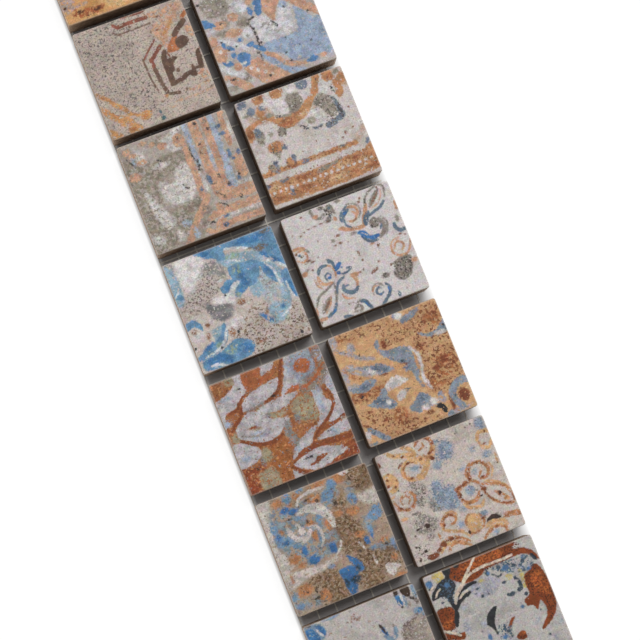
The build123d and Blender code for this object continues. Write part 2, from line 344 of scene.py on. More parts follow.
prints["leaves"] = dict(ground=("97603b", "875333", "a26d47"), speck=0.35, inks=[
    ink("93592f", 0.35, [area((5, 14.8), (10, 14.6), (10, 23), (6.6, 23)),
        area((17, 17.8), (23, 18.4), (23, 19.6), (17, 19)), dots((8.6, 1.2, 1.4, 1.2))], 0.6, 0.5),
    ink("854228", 0.2, [area((-0.5, 17.8), (2.6, 18.2), (5, 17.6), (4.6, 19), (2.6, 19.8), (2.4, 23.4), (-0.5, 23.4)),
        area((16, 22.8), (21, 21), (23.4, 21.2), (23.4, 23.4), (16, 23.4))], 0.5, 0.3),
    flecks("b57c52", 0.16, 0.6),
    flecks("6a3a24", 0.1, 0.5),
    ink("988c73", 0.2, [area((13.4, 9.4), (16, 8.2), (17.9, 9), (18.4, 11.6), (17.2, 13.8), (14.4, 12.8)),
        area((2.8, 19.8), (4, 19.4), (6.2, 19.4), (6.4, 23), (3.2, 23.2)),
        area((0.6, 11), (2, 10.6), (3.4, 12.4), (2, 13.2), (0.4, 12.6)),
        line([(7.2, 8), (8.6, 9.2), (10.6, 10.2), (12.6, 9.6)], 0.5),
        dots((4.2, 0.8, 1.6, 0.8), (5.6, 16.6, 1.2, 1.4))], 0.6, 0.35),
    ink("afa9ab", 0.05, [area((-0.5, 4.4), (2.4, 2.9), (4.8, 1.6), (5, -0.4), (6.8, -0.4), (6.3, 2.2), (6.6, 3.5),
            (5, 4.6), (3.6, 6), (1, 6.7), (0.8, 8.8), (-0.5, 9)),
        area((4.3, 7.1), (5.6, 5), (9.5, 3.7), (13.2, 3.4), (12.3, 5.4), (10.2, 6.6), (7, 7.2)),
        area((7, 8), (10, 7.2), (15.8, 7.1), (13.4, 8.9), (11.4, 9.3), (9, 9.2)), area((1.9, 10), (3.4, 8.6),
            (5.6, 7.6), (7.6, 8.6), (9.6, 10.6), (12.5, 11.3), (10.6, 13), (9.4, 13.9), (7, 14.3), (4.6, 13.6),
            (2, 11.8)), area((-0.5, 13.2), (2, 12.8), (4.8, 14.8), (4.7, 16.2), (2.6, 17.5), (-0.5, 17)),
        area((10.3, -0.4), (13.6, -0.4), (12.6, 1.3), (10.4, 2.2)), area((15.8, -0.4), (17.4, -0.2), (16.2, 2.4),
            (17.2, 4.8), (18.4, 5.4), (15.6, 6.3), (12.8, 6.8), (14, 4.4), (15, 2)),
        area((18.7, 7), (20.1, 8.4), (20.5, 10.6), (21.4, 11.8), (19.6, 13.8), (17, 15.2), (18.3, 13), (18.2, 10)),
        area((21.4, 7), (23.5, 4.4), (23.5, 14.4), (19.4, 15), (21.6, 12.4), (21.9, 10)),
        area((10.2, 19.4), (11.8, 17), (15, 15.2), (16.8, 14.9), (15.4, 16.6), (14.6, 17.9), (12.4, 18.4)),
        area((9.9, 20.4), (12.4, 19.2), (15, 18.8), (18, 19.5), (21, 20.9), (17.6, 22.2), (14.4, 22.9), (12, 22)),
        area((16, 17.5), (18.6, 16.3), (23.5, 15.6), (23.5, 17.7), (19, 17.9)),
        area((9.6, 21.2), (11.8, 23.5), (9.4, 23.5))], 0.5, 0.15),
    ink("949fb0", 0.3, [dots((5.8, 12.4, 1.7, 0.8), (1.4, 16, 1.0, 0.6), (0.8, 8.4, 0.8, 0.6), (19.3, 11, 0.5, 1.8),
            (15.7, 2.4, 0.7, 1.3), (12, 18, 0.9, 0.5), (19.8, 17, 1.0, 0.7), (19.4, 8, 0.9, 1.1),
            (22.2, 1.8, 0.9, 1.3), (2.4, 3.6, 0.9, 0.4), (22.4, 8, 0.6, 1.4))], 0.7, 0.45),
    ink("8b919c", 0.12, [dots((18.5, 2.9, 2.5, 2.7)),
        area((17, -0.4), (20.6, -0.4), (20.6, 4), (19.4, 5.4), (17, 6.2), (16.4, 5.6))], 0.5, 0.3),
    ink("858280", 0.25, [line([(5.3, 7.4), (7, 7.2), (9.2, 7.1)], 0.26),
        line([(11.9, 12.2), (11.2, 14), (11.7, 15), (11.9, 16.8)], 0.75), line([(6.6, 4), (7.4, 3.6)], 0.3),
        dots((8.8, 9.6, 0.5, 0.3), (4.6, 17.6, 0.5, 0.8), (13.9, 12, 0.6, 1.0))], 0.5, 0.3),
    ink("87796e", 0.34, [
        area((16.4, 5.9), (18.6, 5.3), (20.6, 4.6), (22.6, 2.6), (23.4, 4.4), (21.8, 7.2), (19.2, 8.4), (16.6, 7.9)),
        dots((22, 1.4, 1.0, 1.0))], 0.5, 0.4),
    ink("93816f", 0.2, [leaf([(3.8, 10.6), (5.4, 11), (6.9, 11.6)], 0.4),
        line([(2.6, 11.6), (5.4, 12.5), (8.2, 12.2)], 0.14)], 0.5, 0.3),
    ink("a05d3a", 0.08, [dots((18.5, 2.9, 1.7, 1.5)),
        area((13.6, 6.7), (15.2, 5.9), (16.6, 6.2), (15.8, 7), (14.4, 7.1)),
        line([(16.6, 7), (18.4, 6.6), (20.6, 5.6), (22.4, 3.8)], 0.28), line([(6.6, 3.8), (9, 3), (12, 1.5)], 0.25),
        line([(8.8, 3.5), (11, 2.9), (12.8, 2)], 0.18),
        area((6.4, 0.4), (7, -0.4), (10.2, -0.4), (10.2, 1.6), (8, 3), (6.6, 3.2))], 0.6, 0.18),
    ink("7f4529", 0.1, [line([(1.3, 6.8), (3.4, 6.4), (4.4, 5.4), (5.8, 4.3)], 0.28),
        line([(1.2, 10), (2.4, 8.9), (3.6, 8), (4.4, 6.2)], 0.3),
        line([(15.4, -0.4), (14.2, 2), (13.3, 4.2), (12.2, 5.8), (10.6, 6.6), (9.2, 7)], 0.3),
        line([(20.6, 8.4), (21.6, 10), (21.5, 12), (19.6, 14.2), (17.4, 15.6), (15.9, 16.6), (15.4, 17.6)], 0.26),
        line([(16.8, 16), (20, 15.6), (23.4, 14.6)], 0.26),
        line([(10.2, 20), (12.4, 18.9), (15, 18.4), (17, 18.4), (20, 18.8), (23.5, 18.9)], 0.5, (0.3, 1)),
        line([(4.3, 10.7), (5.6, 10.9), (6.3, 11.3)], 0.12),
        line([(2, 12.4), (3.6, 13.4), (5.4, 14.4), (8, 14.7), (10.2, 14)], 0.34),
        area((12.4, 21.6), (14, 21.2), (14.8, 20.4), (16.8, 20.7), (15, 21.6), (13, 21.9)),
        line([(9.7, 20.6), (10.6, 22), (12.6, 23.2)], 0.3), line([(20.2, 20.6), (23.4, 20)], 0.3)], 0.5),
    flecks("8c8a90", 0.05, 0.55),
    flecks("5a3a2c", 0.03, 0.42),
    ink("2f2b2b", 0.1, [dots((19, 16.7, 0.5, 0.25), (12.5, 20.1, 0.35, 0.22), (11.2, 6.4, 0.35, 0.2), (5.4, 2.8, 0.2),
            (3, 18.6, 0.2)), line([(12.4, 20), (14, 20.2)], 0.12)]),
])

prints["curl"] = dict(ground=("9f8976", "867262", "b09c89"), speck=1.0, inks=[
    ink("7d6248", 0.45, [area((12.6, 7), (16, 7.6), (18, 12), (17, 16), (13, 14.6)),
        area((13.6, 19), (16, 16), (23.4, 16.6), (23.4, 19.4), (18, 19.6), (18.6, 22), (17.4, 23.4), (14, 23.4)),
        area((4.4, 17.4), (10, 17), (10.6, 23.4), (7.2, 23.4), (5.4, 21), (7, 19.6)),
        area((14, 3.4), (16.6, 3), (16.6, 7), (14, 7.4)), area((19, 0), (23.4, 0.6), (23.4, 4), (19.6, 4.4))],
        0.6, 0.8),
    ink("5c4530", 0.74, [area((13, 7), (17, 8), (18, 15), (13, 14)),
        area((14, 16), (23.4, 16), (23.4, 20), (17, 23.4), (14, 23.4)),
        area((4, 17), (10.6, 17), (10.6, 23.4), (5, 23.4)), area((18.6, 0), (23.4, 0), (23.4, 4.6), (18.6, 4))],
        0.5, 0.8),
    ink("bab0a8", 0.08, [area((-0.5, -0.5), (2.5, -0.5), (2.3, 3), (1.8, 5), (1.1, 7), (1.1, 9.6), (2, 11), (3, 13.4),
            (2, 14.1), (-0.5, 14.1)), area((19.2, 5.2), (21, 5.3), (23.4, 5), (23.4, 7.6), (21.4, 8), (19.3, 6.6)),
        area((-0.5, 14.6), (5, 15), (11, 15.4), (9, 16.3), (5, 16.6), (2, 17.4), (-0.5, 17.6)),
        dots((9.6, 15.3, 1.8, 0.4))], 0.6, 0.35),
    ink("7f8a92", 0.42, [area((2.4, 2), (7, 2.6), (13, 2), (15.6, 1), (15.6, 4), (12.6, 7), (12.8, 12), (11, 14),
            (6, 14.6), (3, 12), (1.2, 9), (1.4, 5)), dots((0.6, 20, 1.6, 2.2), (4, 21.4, 2.0, 1.0),
            (21, 16, 2.0, 1.0), (19.4, 11, 1.2, 1.6), (18.2, 3.4, 0.8, 1.4))], 0.9, 0.7),
    ink("ab7650", 0.16, [dots((4, 1.4, 1.2, 0.7), (8, 1.2, 0.8, 0.8), (12.6, 0.6, 1.8, 0.8), (11, 2.9, 1.6, 0.9),
            (8.8, 7, 0.9, 0.7), (8.8, 9.6, 0.7, 1.2), (12, 8.6, 0.7, 1.3), (17.3, 7.9, 1.2, 0.95),
            (3.4, 12.4, 1.3, 1.0), (4.4, 14, 0.8, 0.6), (3.1, 18.7, 1.7, 1.2), (6.4, 21, 1.0, 1.3),
            (16.9, 12.6, 1.0, 0.7), (21, 15.2, 1.2, 0.5), (21.6, 22.6, 1.1, 0.55), (17, 0.9, 1.5, 1.1),
            (6.3, 2.3, 0.7, 0.5), (1.5, 15.9, 0.3, 0.7), (2.8, 6.8, 0.5, 0.5), (21.6, 19, 0.6),
            (14.4, 7.4, 0.9, 0.5))], 0.6, 0.35),
    ink("6a87a3", 0.14, [dots((2, 8.2, 0.9, 1.5), (3.4, 8.8, 1.2, 0.8), (6, 1.1, 0.9, 1.1), (9, 0.4, 0.8, 0.5),
            (10.6, 6.8, 0.6, 0.9), (15.2, 1.7, 1.0, 1.1), (18, 5.6, 0.9, 1.2), (21.1, 10, 1.5, 1.1),
            (21.8, 8.8, 1.0, 0.6), (4.8, 10.3, 0.8, 0.5), (18.5, 15.9, 0.7, 0.4), (0.5, 19.4, 0.5, 0.8),
            (1.2, 21.3, 0.8, 0.5), (22.5, 16.8, 0.3, 1.2), (1.7, 5.6, 0.7, 1.4), (6.8, 5.4, 0.7, 0.5),
            (9.5, 16.3, 0.6, 0.4), (9.6, 10.4, 0.4, 1.0), (19.2, 12.4, 0.5, 1.0)),
        area((12.8, 2.4), (15, 2.6), (14.6, 4.2), (12.8, 4.2))], 0.6, 0.3),
    ink("beb6b0", 0.12, [area((6.6, 4.7), (7.6, 3.9), (9.4, 3.5), (11.4, 4), (12.8, 5.6), (13.4, 7.6), (13.1, 9.6),
            (12.4, 9.2), (12.1, 7.6), (11.1, 6.4), (9.6, 5.3), (8.2, 4.9)), area((4, 5.9), (3.9, 7.8), (4.6, 9.1),
            (6, 10.2), (7.5, 9.8), (8.5, 8.6), (8.7, 7.4), (7.6, 8.5), (6.4, 9.1), (5.2, 8.2), (4.7, 7)),
        area((5.9, 6.4), (6.7, 6.6), (7.4, 8), (6.6, 8.7), (5.9, 8)),
        line([(7, 3.8), (8.2, 2.1), (10.4, 1.4), (13.6, 1.5)], 0.22),
        line([(8.4, 7.7), (9.4, 7.9), (10, 9), (10.1, 10.6), (9.3, 11.9)], 0.2),
        area((19.3, 19.9), (21, 20.2), (22.2, 21), (21, 21.6), (20.4, 22.4), (19.4, 21.8)),
        dots((18.2, 0.2, 1.0, 0.6)), line([(11, 14.8), (12.4, 13.6), (13, 12.4)], 0.14),
        line([(17.8, 17.4), (18, 18.8)], 0.15), line([(16.2, 14), (16.8, 15.4)], 0.12)], 0.5, 0.16),
    ink("3a6694", 0.08, [dots((4.9, 3.1, 0.9, 0.6), (6.4, 3.8, 1.0, 0.6), (5.8, 11.8, 0.6, 1.1),
            (6.9, 13.9, 1.2, 0.9), (11.1, 13, 0.75, 1.1), (17.8, 14.2, 0.5, 0.8), (19, 13.6, 0.3, 0.7),
            (3, 9, 0.7, 0.4), (2, 7.4, 0.4, 0.6)),
        area((12.7, 15.3), (14.2, 16.2), (15.3, 18), (15.2, 19.3), (14.2, 18.9), (13.4, 17)),
        area((10.5, 17.6), (12.4, 17.5), (13.6, 17.9), (14.1, 19.4), (13, 20.4), (12.6, 22.4), (11.4, 22.9),
            (10.9, 21.6), (10.8, 19.6))], 0.6, 0.25),
    ink("293b4a", 0.15, [dots((13, 20.3, 1.1, 0.8), (11.2, 20.4, 0.4, 0.7), (14.2, 18.4, 0.4, 0.5))], 0.5, 0.3),
    flecks("6a5a4c", 0.05, 0.42),
    ink("463a31", 0.2, [dots((15.8, 5.8, 0.35, 0.3), (5.2, 5, 0.35, 0.15), (9.6, 2.7, 0.6, 0.3),
            (11.5, 3.5, 0.5, 0.3), (14.6, 5.2, 0.4, 0.7), (12.2, 6.9, 0.2, 0.3), (8.4, 6.6, 0.3, 0.4),
            (16.3, 13.3, 0.4, 0.3), (21, 16.2, 0.5, 0.25), (5.2, 19.4, 0.3, 0.4), (4.6, 20.8, 0.9, 0.25),
            (3.4, 19.2, 0.3), (2.4, 18.2, 0.25), (15.8, 15.6, 0.6, 0.25), (22.8, 22, 0.25), (6.1, 7.2, 0.25, 0.35),
            (13.4, 15, 0.5, 0.2))], 0.4, 0.18),
])

prints["cloudField"] = dict(ground=("b4aaa6", "a19892", "bdb7b5"), speck=0.5, inks=[
    ink("8c8378", 0.16, [area((0.8, 3.2), (2.6, 2.4), (5, 2.6), (6.3, 4), (6.2, 5.8), (5, 6.8), (3, 6.9), (1.2, 6)),
        area((6.6, 9), (8.6, 8.6), (9.5, 9.4), (9.1, 10.5), (7, 10.4)),
        dots((3.4, 10.5, 1.5, 0.7), (14.6, 2, 3.2, 1.3), (21, 5, 1.8, 1.2), (4.6, 20.4, 1.0, 0.9),
            (1.4, 21.6, 1.0, 0.7), (4.6, 8.4, 0.6, 1.2))], 0.5, 0.35),
    ink("c3c0c3", 0.05, [area((9, 10.2), (10.4, 9.5), (12.5, 9.6), (13.5, 11.2), (15, 10.4), (15.3, 9), (16.3, 8),
            (17.8, 9), (17.7, 12.4), (18, 14.2), (15, 15), (12, 15.2), (10, 14.6), (9.6, 12)),
        line([(1.8, 11.6), (4.4, 13), (7.2, 15.2)], 0.5), line([(-0.4, 16.2), (1.6, 17.9), (4.2, 20)], 0.6),
        area((6.4, 5.4), (8.6, 4.8), (9.8, 6), (9.4, 7.6), (7.6, 7.2)),
        dots((1.4, 9.2, 1.5, 0.35), (8, 12, 1.1, 1.2), (2.2, 15, 0.6, 0.5), (22, 21.4, 1.2, 0.9),
            (4.4, 17.6, 0.7, 0.4), (1, 20.6, 0.9, 0.5), (19, 3, 1.6, 0.9))], 0.5, 0.2),
    ink("909eb3", 0.1, [area((10, 15.3), (13, 15), (17.4, 14.9), (18.2, 12), (18.6, 9.8), (20.4, 11.6), (21.6, 13.4),
            (23.5, 13.6), (23.5, 21), (20, 20.8), (17, 20.9), (14.6, 20.3), (13, 18.2), (10.6, 17)),
        line([(9.3, 17.2), (11.4, 19.8), (13, 21.9), (16, 22.8)], 0.65),
        dots((16.6, 8.8, 0.9, 0.8), (8, 2.4, 1.4, 1.0), (22, 2.2, 1.0, 0.8))], 0.6, 0.3),
    ink("bc937b", 0.1, [dots((6.3, 7.9, 1.1, 0.9), (3.2, 8.6, 1.4, 1.0), (5.3, 11, 1.7, 0.9), (0.7, 11.4, 1.0, 1.3),
            (1.2, 14.2, 1.5, 1.9), (3.2, 13.8, 0.7, 0.5), (20.7, 21.4, 0.7, 0.5), (0.7, 19.2, 0.8, 0.5),
            (10.4, 6, 0.8, 0.6), (3.6, 17.8, 0.8, 0.9), (11, 1.6, 1.4, 0.9), (18, 5.4, 1.6, 0.9), (2, 0.8, 1.2, 0.6)),
        area((12.8, 6.4), (15, 6.6), (16.2, 7.8), (15, 9.4), (14, 11.6), (13.2, 10.4), (12.5, 8.6)),
        line([(17.6, 7.2), (20.2, 10), (23.4, 12.6)], 0.85, (1, 1)),
        area((4.8, 18.6), (6.4, 17.6), (8, 17.4), (9.4, 19), (13.2, 23.2), (8.4, 23.2), (6, 21)),
        line([(9.8, 17.1), (11.4, 18.2), (13.4, 20.6), (16.8, 21.7)], 0.42), line([(1.6, 19.8), (4.6, 22.8)], 0.8)],
        0.6, 0.2),
    ink("557ba5", 0.08, [leaf([(-1, 6.4), (0.8, 7.6), (2.4, 8.4)], 0.85),
        area((11, 6.2), (12.8, 6), (12.4, 8), (11.8, 9.4), (10.8, 9), (11, 7.6)),
        dots((10, 8, 0.5, 0.9), (2.3, 16.8, 0.7, 0.55), (3.7, 15.4, 0.6, 0.7), (6, 12.8, 0.8, 0.5),
            (2.5, 12.7, 0.5, 0.6), (7.7, 14.3, 0.8, 0.5), (18.4, 21.4, 1.2, 0.6), (5.4, 17.8, 0.7, 0.45)),
        area((4.2, 15.6), (5.6, 15.3), (6.8, 16.4), (6.2, 17.6), (5, 17.6), (4.2, 16.8)),
        line([(8.2, 14.9), (9.9, 16.3)], 0.45), line([(3, 13.4), (4.2, 14.2)], 0.35), line([(1, 16), (2, 17)], 0.2)],
        0.7, 0.2),
    ink("cfc8c4", 0.1, [beads(6, 18.9, 9.6, 21.4, 4, 0.32), dots((5.2, 17.5, 0.3), (1.4, 13.8, 0.4), (8, 15.6, 0.3))],
        0.4, 0.2),
    ink("454242", 0.12, [line([(8.8, 10.2), (9.3, 11.6), (9.4, 13.4), (9.3, 15.2)], 0.2),
        line([(8.4, 16.2), (8.8, 17), (8.8, 18.2)], 0.16), line([(9.2, 9.4), (10.4, 9.2)], 0.16),
        line([(13.2, 11.3), (14, 12), (14, 12.6)], 0.2), dots((9.8, 14.8, 0.25, 0.4), (3.5, 8.4, 0.3, 0.25),
            (16.7, 9.4, 0.3), (20.9, 11.8, 0.4, 0.3), (14.6, 15.4, 0.25), (16.8, 17.7, 0.22), (13.8, 18.4, 0.22),
            (19.4, 17.6, 0.2), (1.8, 19.9, 0.5, 0.25), (9.1, 21.6, 0.35, 0.3), (14.4, 21.8, 0.6, 0.15),
            (0.6, 3.2, 0.4, 0.25), (2.9, 5.3, 0.2), (5.3, 5.2, 0.2), (2.4, 12, 0.3, 0.2), (3.2, 13.9, 0.3, 0.2),
            (4.9, 13.8, 0.2), (14.2, 20.2, 0.2, 0.4))], 0.4, 0.15),
    ink("8c8682", 0.3, [line([(11, 11.8), (12, 11.3), (13.4, 12)], 0.3),
        line([(11.8, 12.4), (13, 13.2), (14.6, 13.9)], 0.16),
        dots((7.8, 12.4, 0.4, 0.35), (6.6, 5.8, 0.4, 0.3), (12.6, 20.2, 0.3))], 0.4, 0.25),
])

prints["trefoil"] = dict(ground=("c3bab6", "b5aaa4", "cbc5c2"), speck=0.35, inks=[
    ink("b29a8a", 0.3, [area((1.4, 4), (6, 3), (6.4, 6), (2.6, 5.6)),
        area((20, 0), (23.4, -0.4), (23.4, 4), (21.6, 3.8)),
        line([(19.9, 15.8), (21.6, 14.4), (23.4, 12.8)], 0.55, (1, 1)),
        dots((3, 3.4, 1.4, 1.0), (14, 6.2, 1.6, 0.8))], 0.7, 0.4),
    ink("b1805b", 0.08, [dots((4.8, 0.9, 1.3, 1.0), (8.7, 0.8, 1.4, 1.2), (4.3, 3.6, 0.8, 1.2), (4.7, 11.2, 1.7, 1.3),
            (2.4, 15.1, 0.9, 1.0), (6.4, 15, 1.0, 1.0), (19.6, 1, 1.2, 1.2), (22.2, 2.4, 0.9, 1.4)),
        area((2.8, 4.9), (4.6, 4.4), (6, 4.9), (7.4, 5.6), (9.2, 5.8), (11.8, 5.2), (13.4, 4.3), (15.2, 3.6),
            (15.6, 4.4), (14.6, 5.6), (13, 7), (11, 8), (8.6, 8.4), (7, 7.6), (6, 6.2), (4.6, 5.3), (3, 5.8),
            (1.7, 6.4), (1.4, 8.2), (-0.5, 8.6), (-0.5, 6)),
        line([(17.6, -0.4), (16.8, 2), (15.7, 3.8)], 0.72, (1, 0.6)), line([(20.6, 2.6), (21, 4), (20.6, 5.8)], 0.7),
        line([(-0.5, 15.8), (10, 15.8), (20, 15.8)], 0.48, (1, 1)),
        area((-0.5, 17.8), (10, 17.9), (20, 17.6), (21.6, 17.3), (23.5, 16.8), (23.5, 22), (-0.5, 21.9))], 0.7, 0.2),
    ink("8f5a3d", 0.3, [dots((8, 18.7, 2.4, 0.6), (7, 20.9, 1.7, 0.8), (18.4, 18.6, 2.0, 0.6), (12.4, 20.7, 0.9, 0.6),
            (21.6, 21.2, 1.4, 0.5), (17.4, 21.2, 0.8, 0.5), (2, 21.2, 1.6, 0.5), (21.2, 18.8, 0.8, 0.5),
            (8.8, 7.2, 1.8, 0.9), (1, 7.2, 0.9, 0.8), (15, 15.9, 1.2, 0.4), (20, 1.4, 0.8, 0.7), (11, 21.2, 0.7, 0.3),
            (4.2, 11, 0.8, 0.6), (5.6, 0.6, 0.6), (11.6, 5.8, 0.7, 0.4), (6.8, 15.9, 1.2, 0.35))], 0.6, 0.45),
    ink("c2a37f", 0.3, [dots((14.2, 21, 2.0, 0.6), (1.5, 18.7, 1.2, 0.5), (5.4, 19.2, 0.7, 0.4), (16, 19, 1.4, 0.4),
            (12.6, 6.8, 1.0, 0.5), (12, 16, 1.2, 0.3), (20.2, 19.4, 0.9, 0.4))], 0.6, 0.4),
    ink("8b8378", 0.12, [area((10.2, 2.2), (12.6, 1.9), (13.3, 3), (13, 4.6), (11, 5.9), (10.1, 5.2)),
        area((14.8, 5.6), (16, 4.2), (17.6, 4.1), (18.7, 6.4), (18.9, 8.6), (17.8, 9.3), (16.6, 8), (15.8, 6.4)),
        dots((2.5, 8.2, 0.9, 1.7), (7, 8.7, 0.9, 1.0), (4.7, 8.3, 0.55, 0.5), (13.4, 8.5, 0.9, 0.75),
            (2.9, 15, 1.0, 1.0), (5.8, 4.6, 0.7, 0.5), (1.8, 3.2, 1.0, 0.5), (21.6, 0.8, 0.8, 0.6)),
        area((3.9, 12.2), (5.3, 12.2), (5, 13.3), (4.6, 13.8), (4.2, 13.2)),
        area((10.5, 19.1), (11.4, 18.1), (14, 17.9), (16.6, 17.6), (14, 18.6)),
        line([(9.6, 4.4), (9.9, 5.8), (8, 5.6), (7, 5.2)], 0.25)], 0.5, 0.22),
    ink("6e7885", 0.15, [dots((1.3, 0.9, 1.1, 0.9), (2.6, 2.7, 0.9, 0.85), (4.9, 2.8, 0.6, 0.5),
            (14.2, 0.9, 1.3, 1.2), (6.3, 11.8, 0.7, 0.6), (3.5, 14.4, 0.5, 0.8), (7.3, 14.4, 0.5, 0.8),
            (4.6, 20.6, 0.45, 1.0), (3.8, 18, 1.1, 0.35), (0.2, 18.1, 0.6, 0.5), (9.2, 15.8, 0.8, 0.5),
            (17.4, 15.5, 0.7, 0.25), (14, 10.2, 0.9, 0.38), (3.4, 16, 0.5, 0.4), (2.4, 7.2, 0.7, 0.9)),
        leaf([(22, 16.6), (22.6, 16.1), (23.2, 15.8)], 0.4), area((18.6, 5.2), (19.3, 5.6), (19.9, 7.6), (20.1, 10),
            (18.2, 10.8), (16.2, 11.3), (15.5, 10.4), (17, 9.7), (18.9, 9.4), (19, 7.2))], 0.5, 0.2),
    ink("4c4a4c", 0.4, [line([(18.8, 5.4), (19, 7), (19.6, 8.6), (19.6, 10)], 0.2),
        line([(10.8, 8.2), (11.1, 9), (12.3, 9.9)], 0.24), line([(17.4, 0.8), (17.4, 2)], 0.2),
        line([(19.4, 3.4), (19.8, 4.6)], 0.2), dots((14.6, 8.6, 0.25, 0.2), (16.4, 11, 0.4, 0.25), (7.3, 14.1, 0.25),
            (3.5, 14.2, 0.3), (14, 0.6, 0.6, 0.4), (7.4, 5.6, 0.4, 0.2)), line([(13.3, 10), (14.6, 10.3)], 0.15)],
        0.4, 0.15),
    ink("5f564f", 0.76, [area((10.2, 2.2), (13.3, 3), (11, 5.9)),
        area((14.8, 5.6), (17.6, 4.1), (20.1, 7.6), (18.6, 10.8), (15.4, 11), (16.6, 8)),
        dots((2.5, 8.2, 0.9, 1.7), (7, 8.7, 0.9, 1.0), (2.9, 15, 1.1, 1.1), (6.4, 15, 1.1, 1.1),
            (4.7, 11.2, 1.7, 1.3))], 0.4, 0.35, rest=0.0),
    flecks("7c5137", 0.14, 0.45, area((-0.5, 18), (23.5, 17.4), (23.5, 21.6), (-0.5, 21.6)),
        line([(0, 15.8), (20, 15.8)], 0.4)),
    ink("cbc5c3", 0.05, [
        area((5.9, 0.4), (6.8, 1.6), (8.2, 2.2), (9.4, 2.4), (9.9, 4), (9.8, 5.4), (8.2, 5.2), (6.8, 4), (6, 2.4)),
        dots((11.6, 1, 1.2, 0.9), (13.9, 2.9, 0.85, 0.7), (18, 3, 0.9, 1.3), (11.6, 8.2, 0.6, 0.5)),
        area((14.6, 6.5), (15.6, 7.3), (16.6, 9.2), (15.4, 9.7), (14.6, 8.8), (14.4, 7.8), (13, 7.4)),
        beads(-0.1, 19.8, 21.8, 19.7, 19, 0.3)], 0.5, 0.2),
    flecks("8f8078", 0.04, 0.38),
    ink("84604f", 0.3, [dots((18.8, 13.2, 0.4, 0.3), (15, 13.5, 0.25), (20.6, 12.6, 0.3, 0.2), (12.6, 12.7, 0.25),
            (18, 14, 0.3, 0.2), (21.4, 8.6, 0.25), (9.4, 13.8, 0.2))]),
])

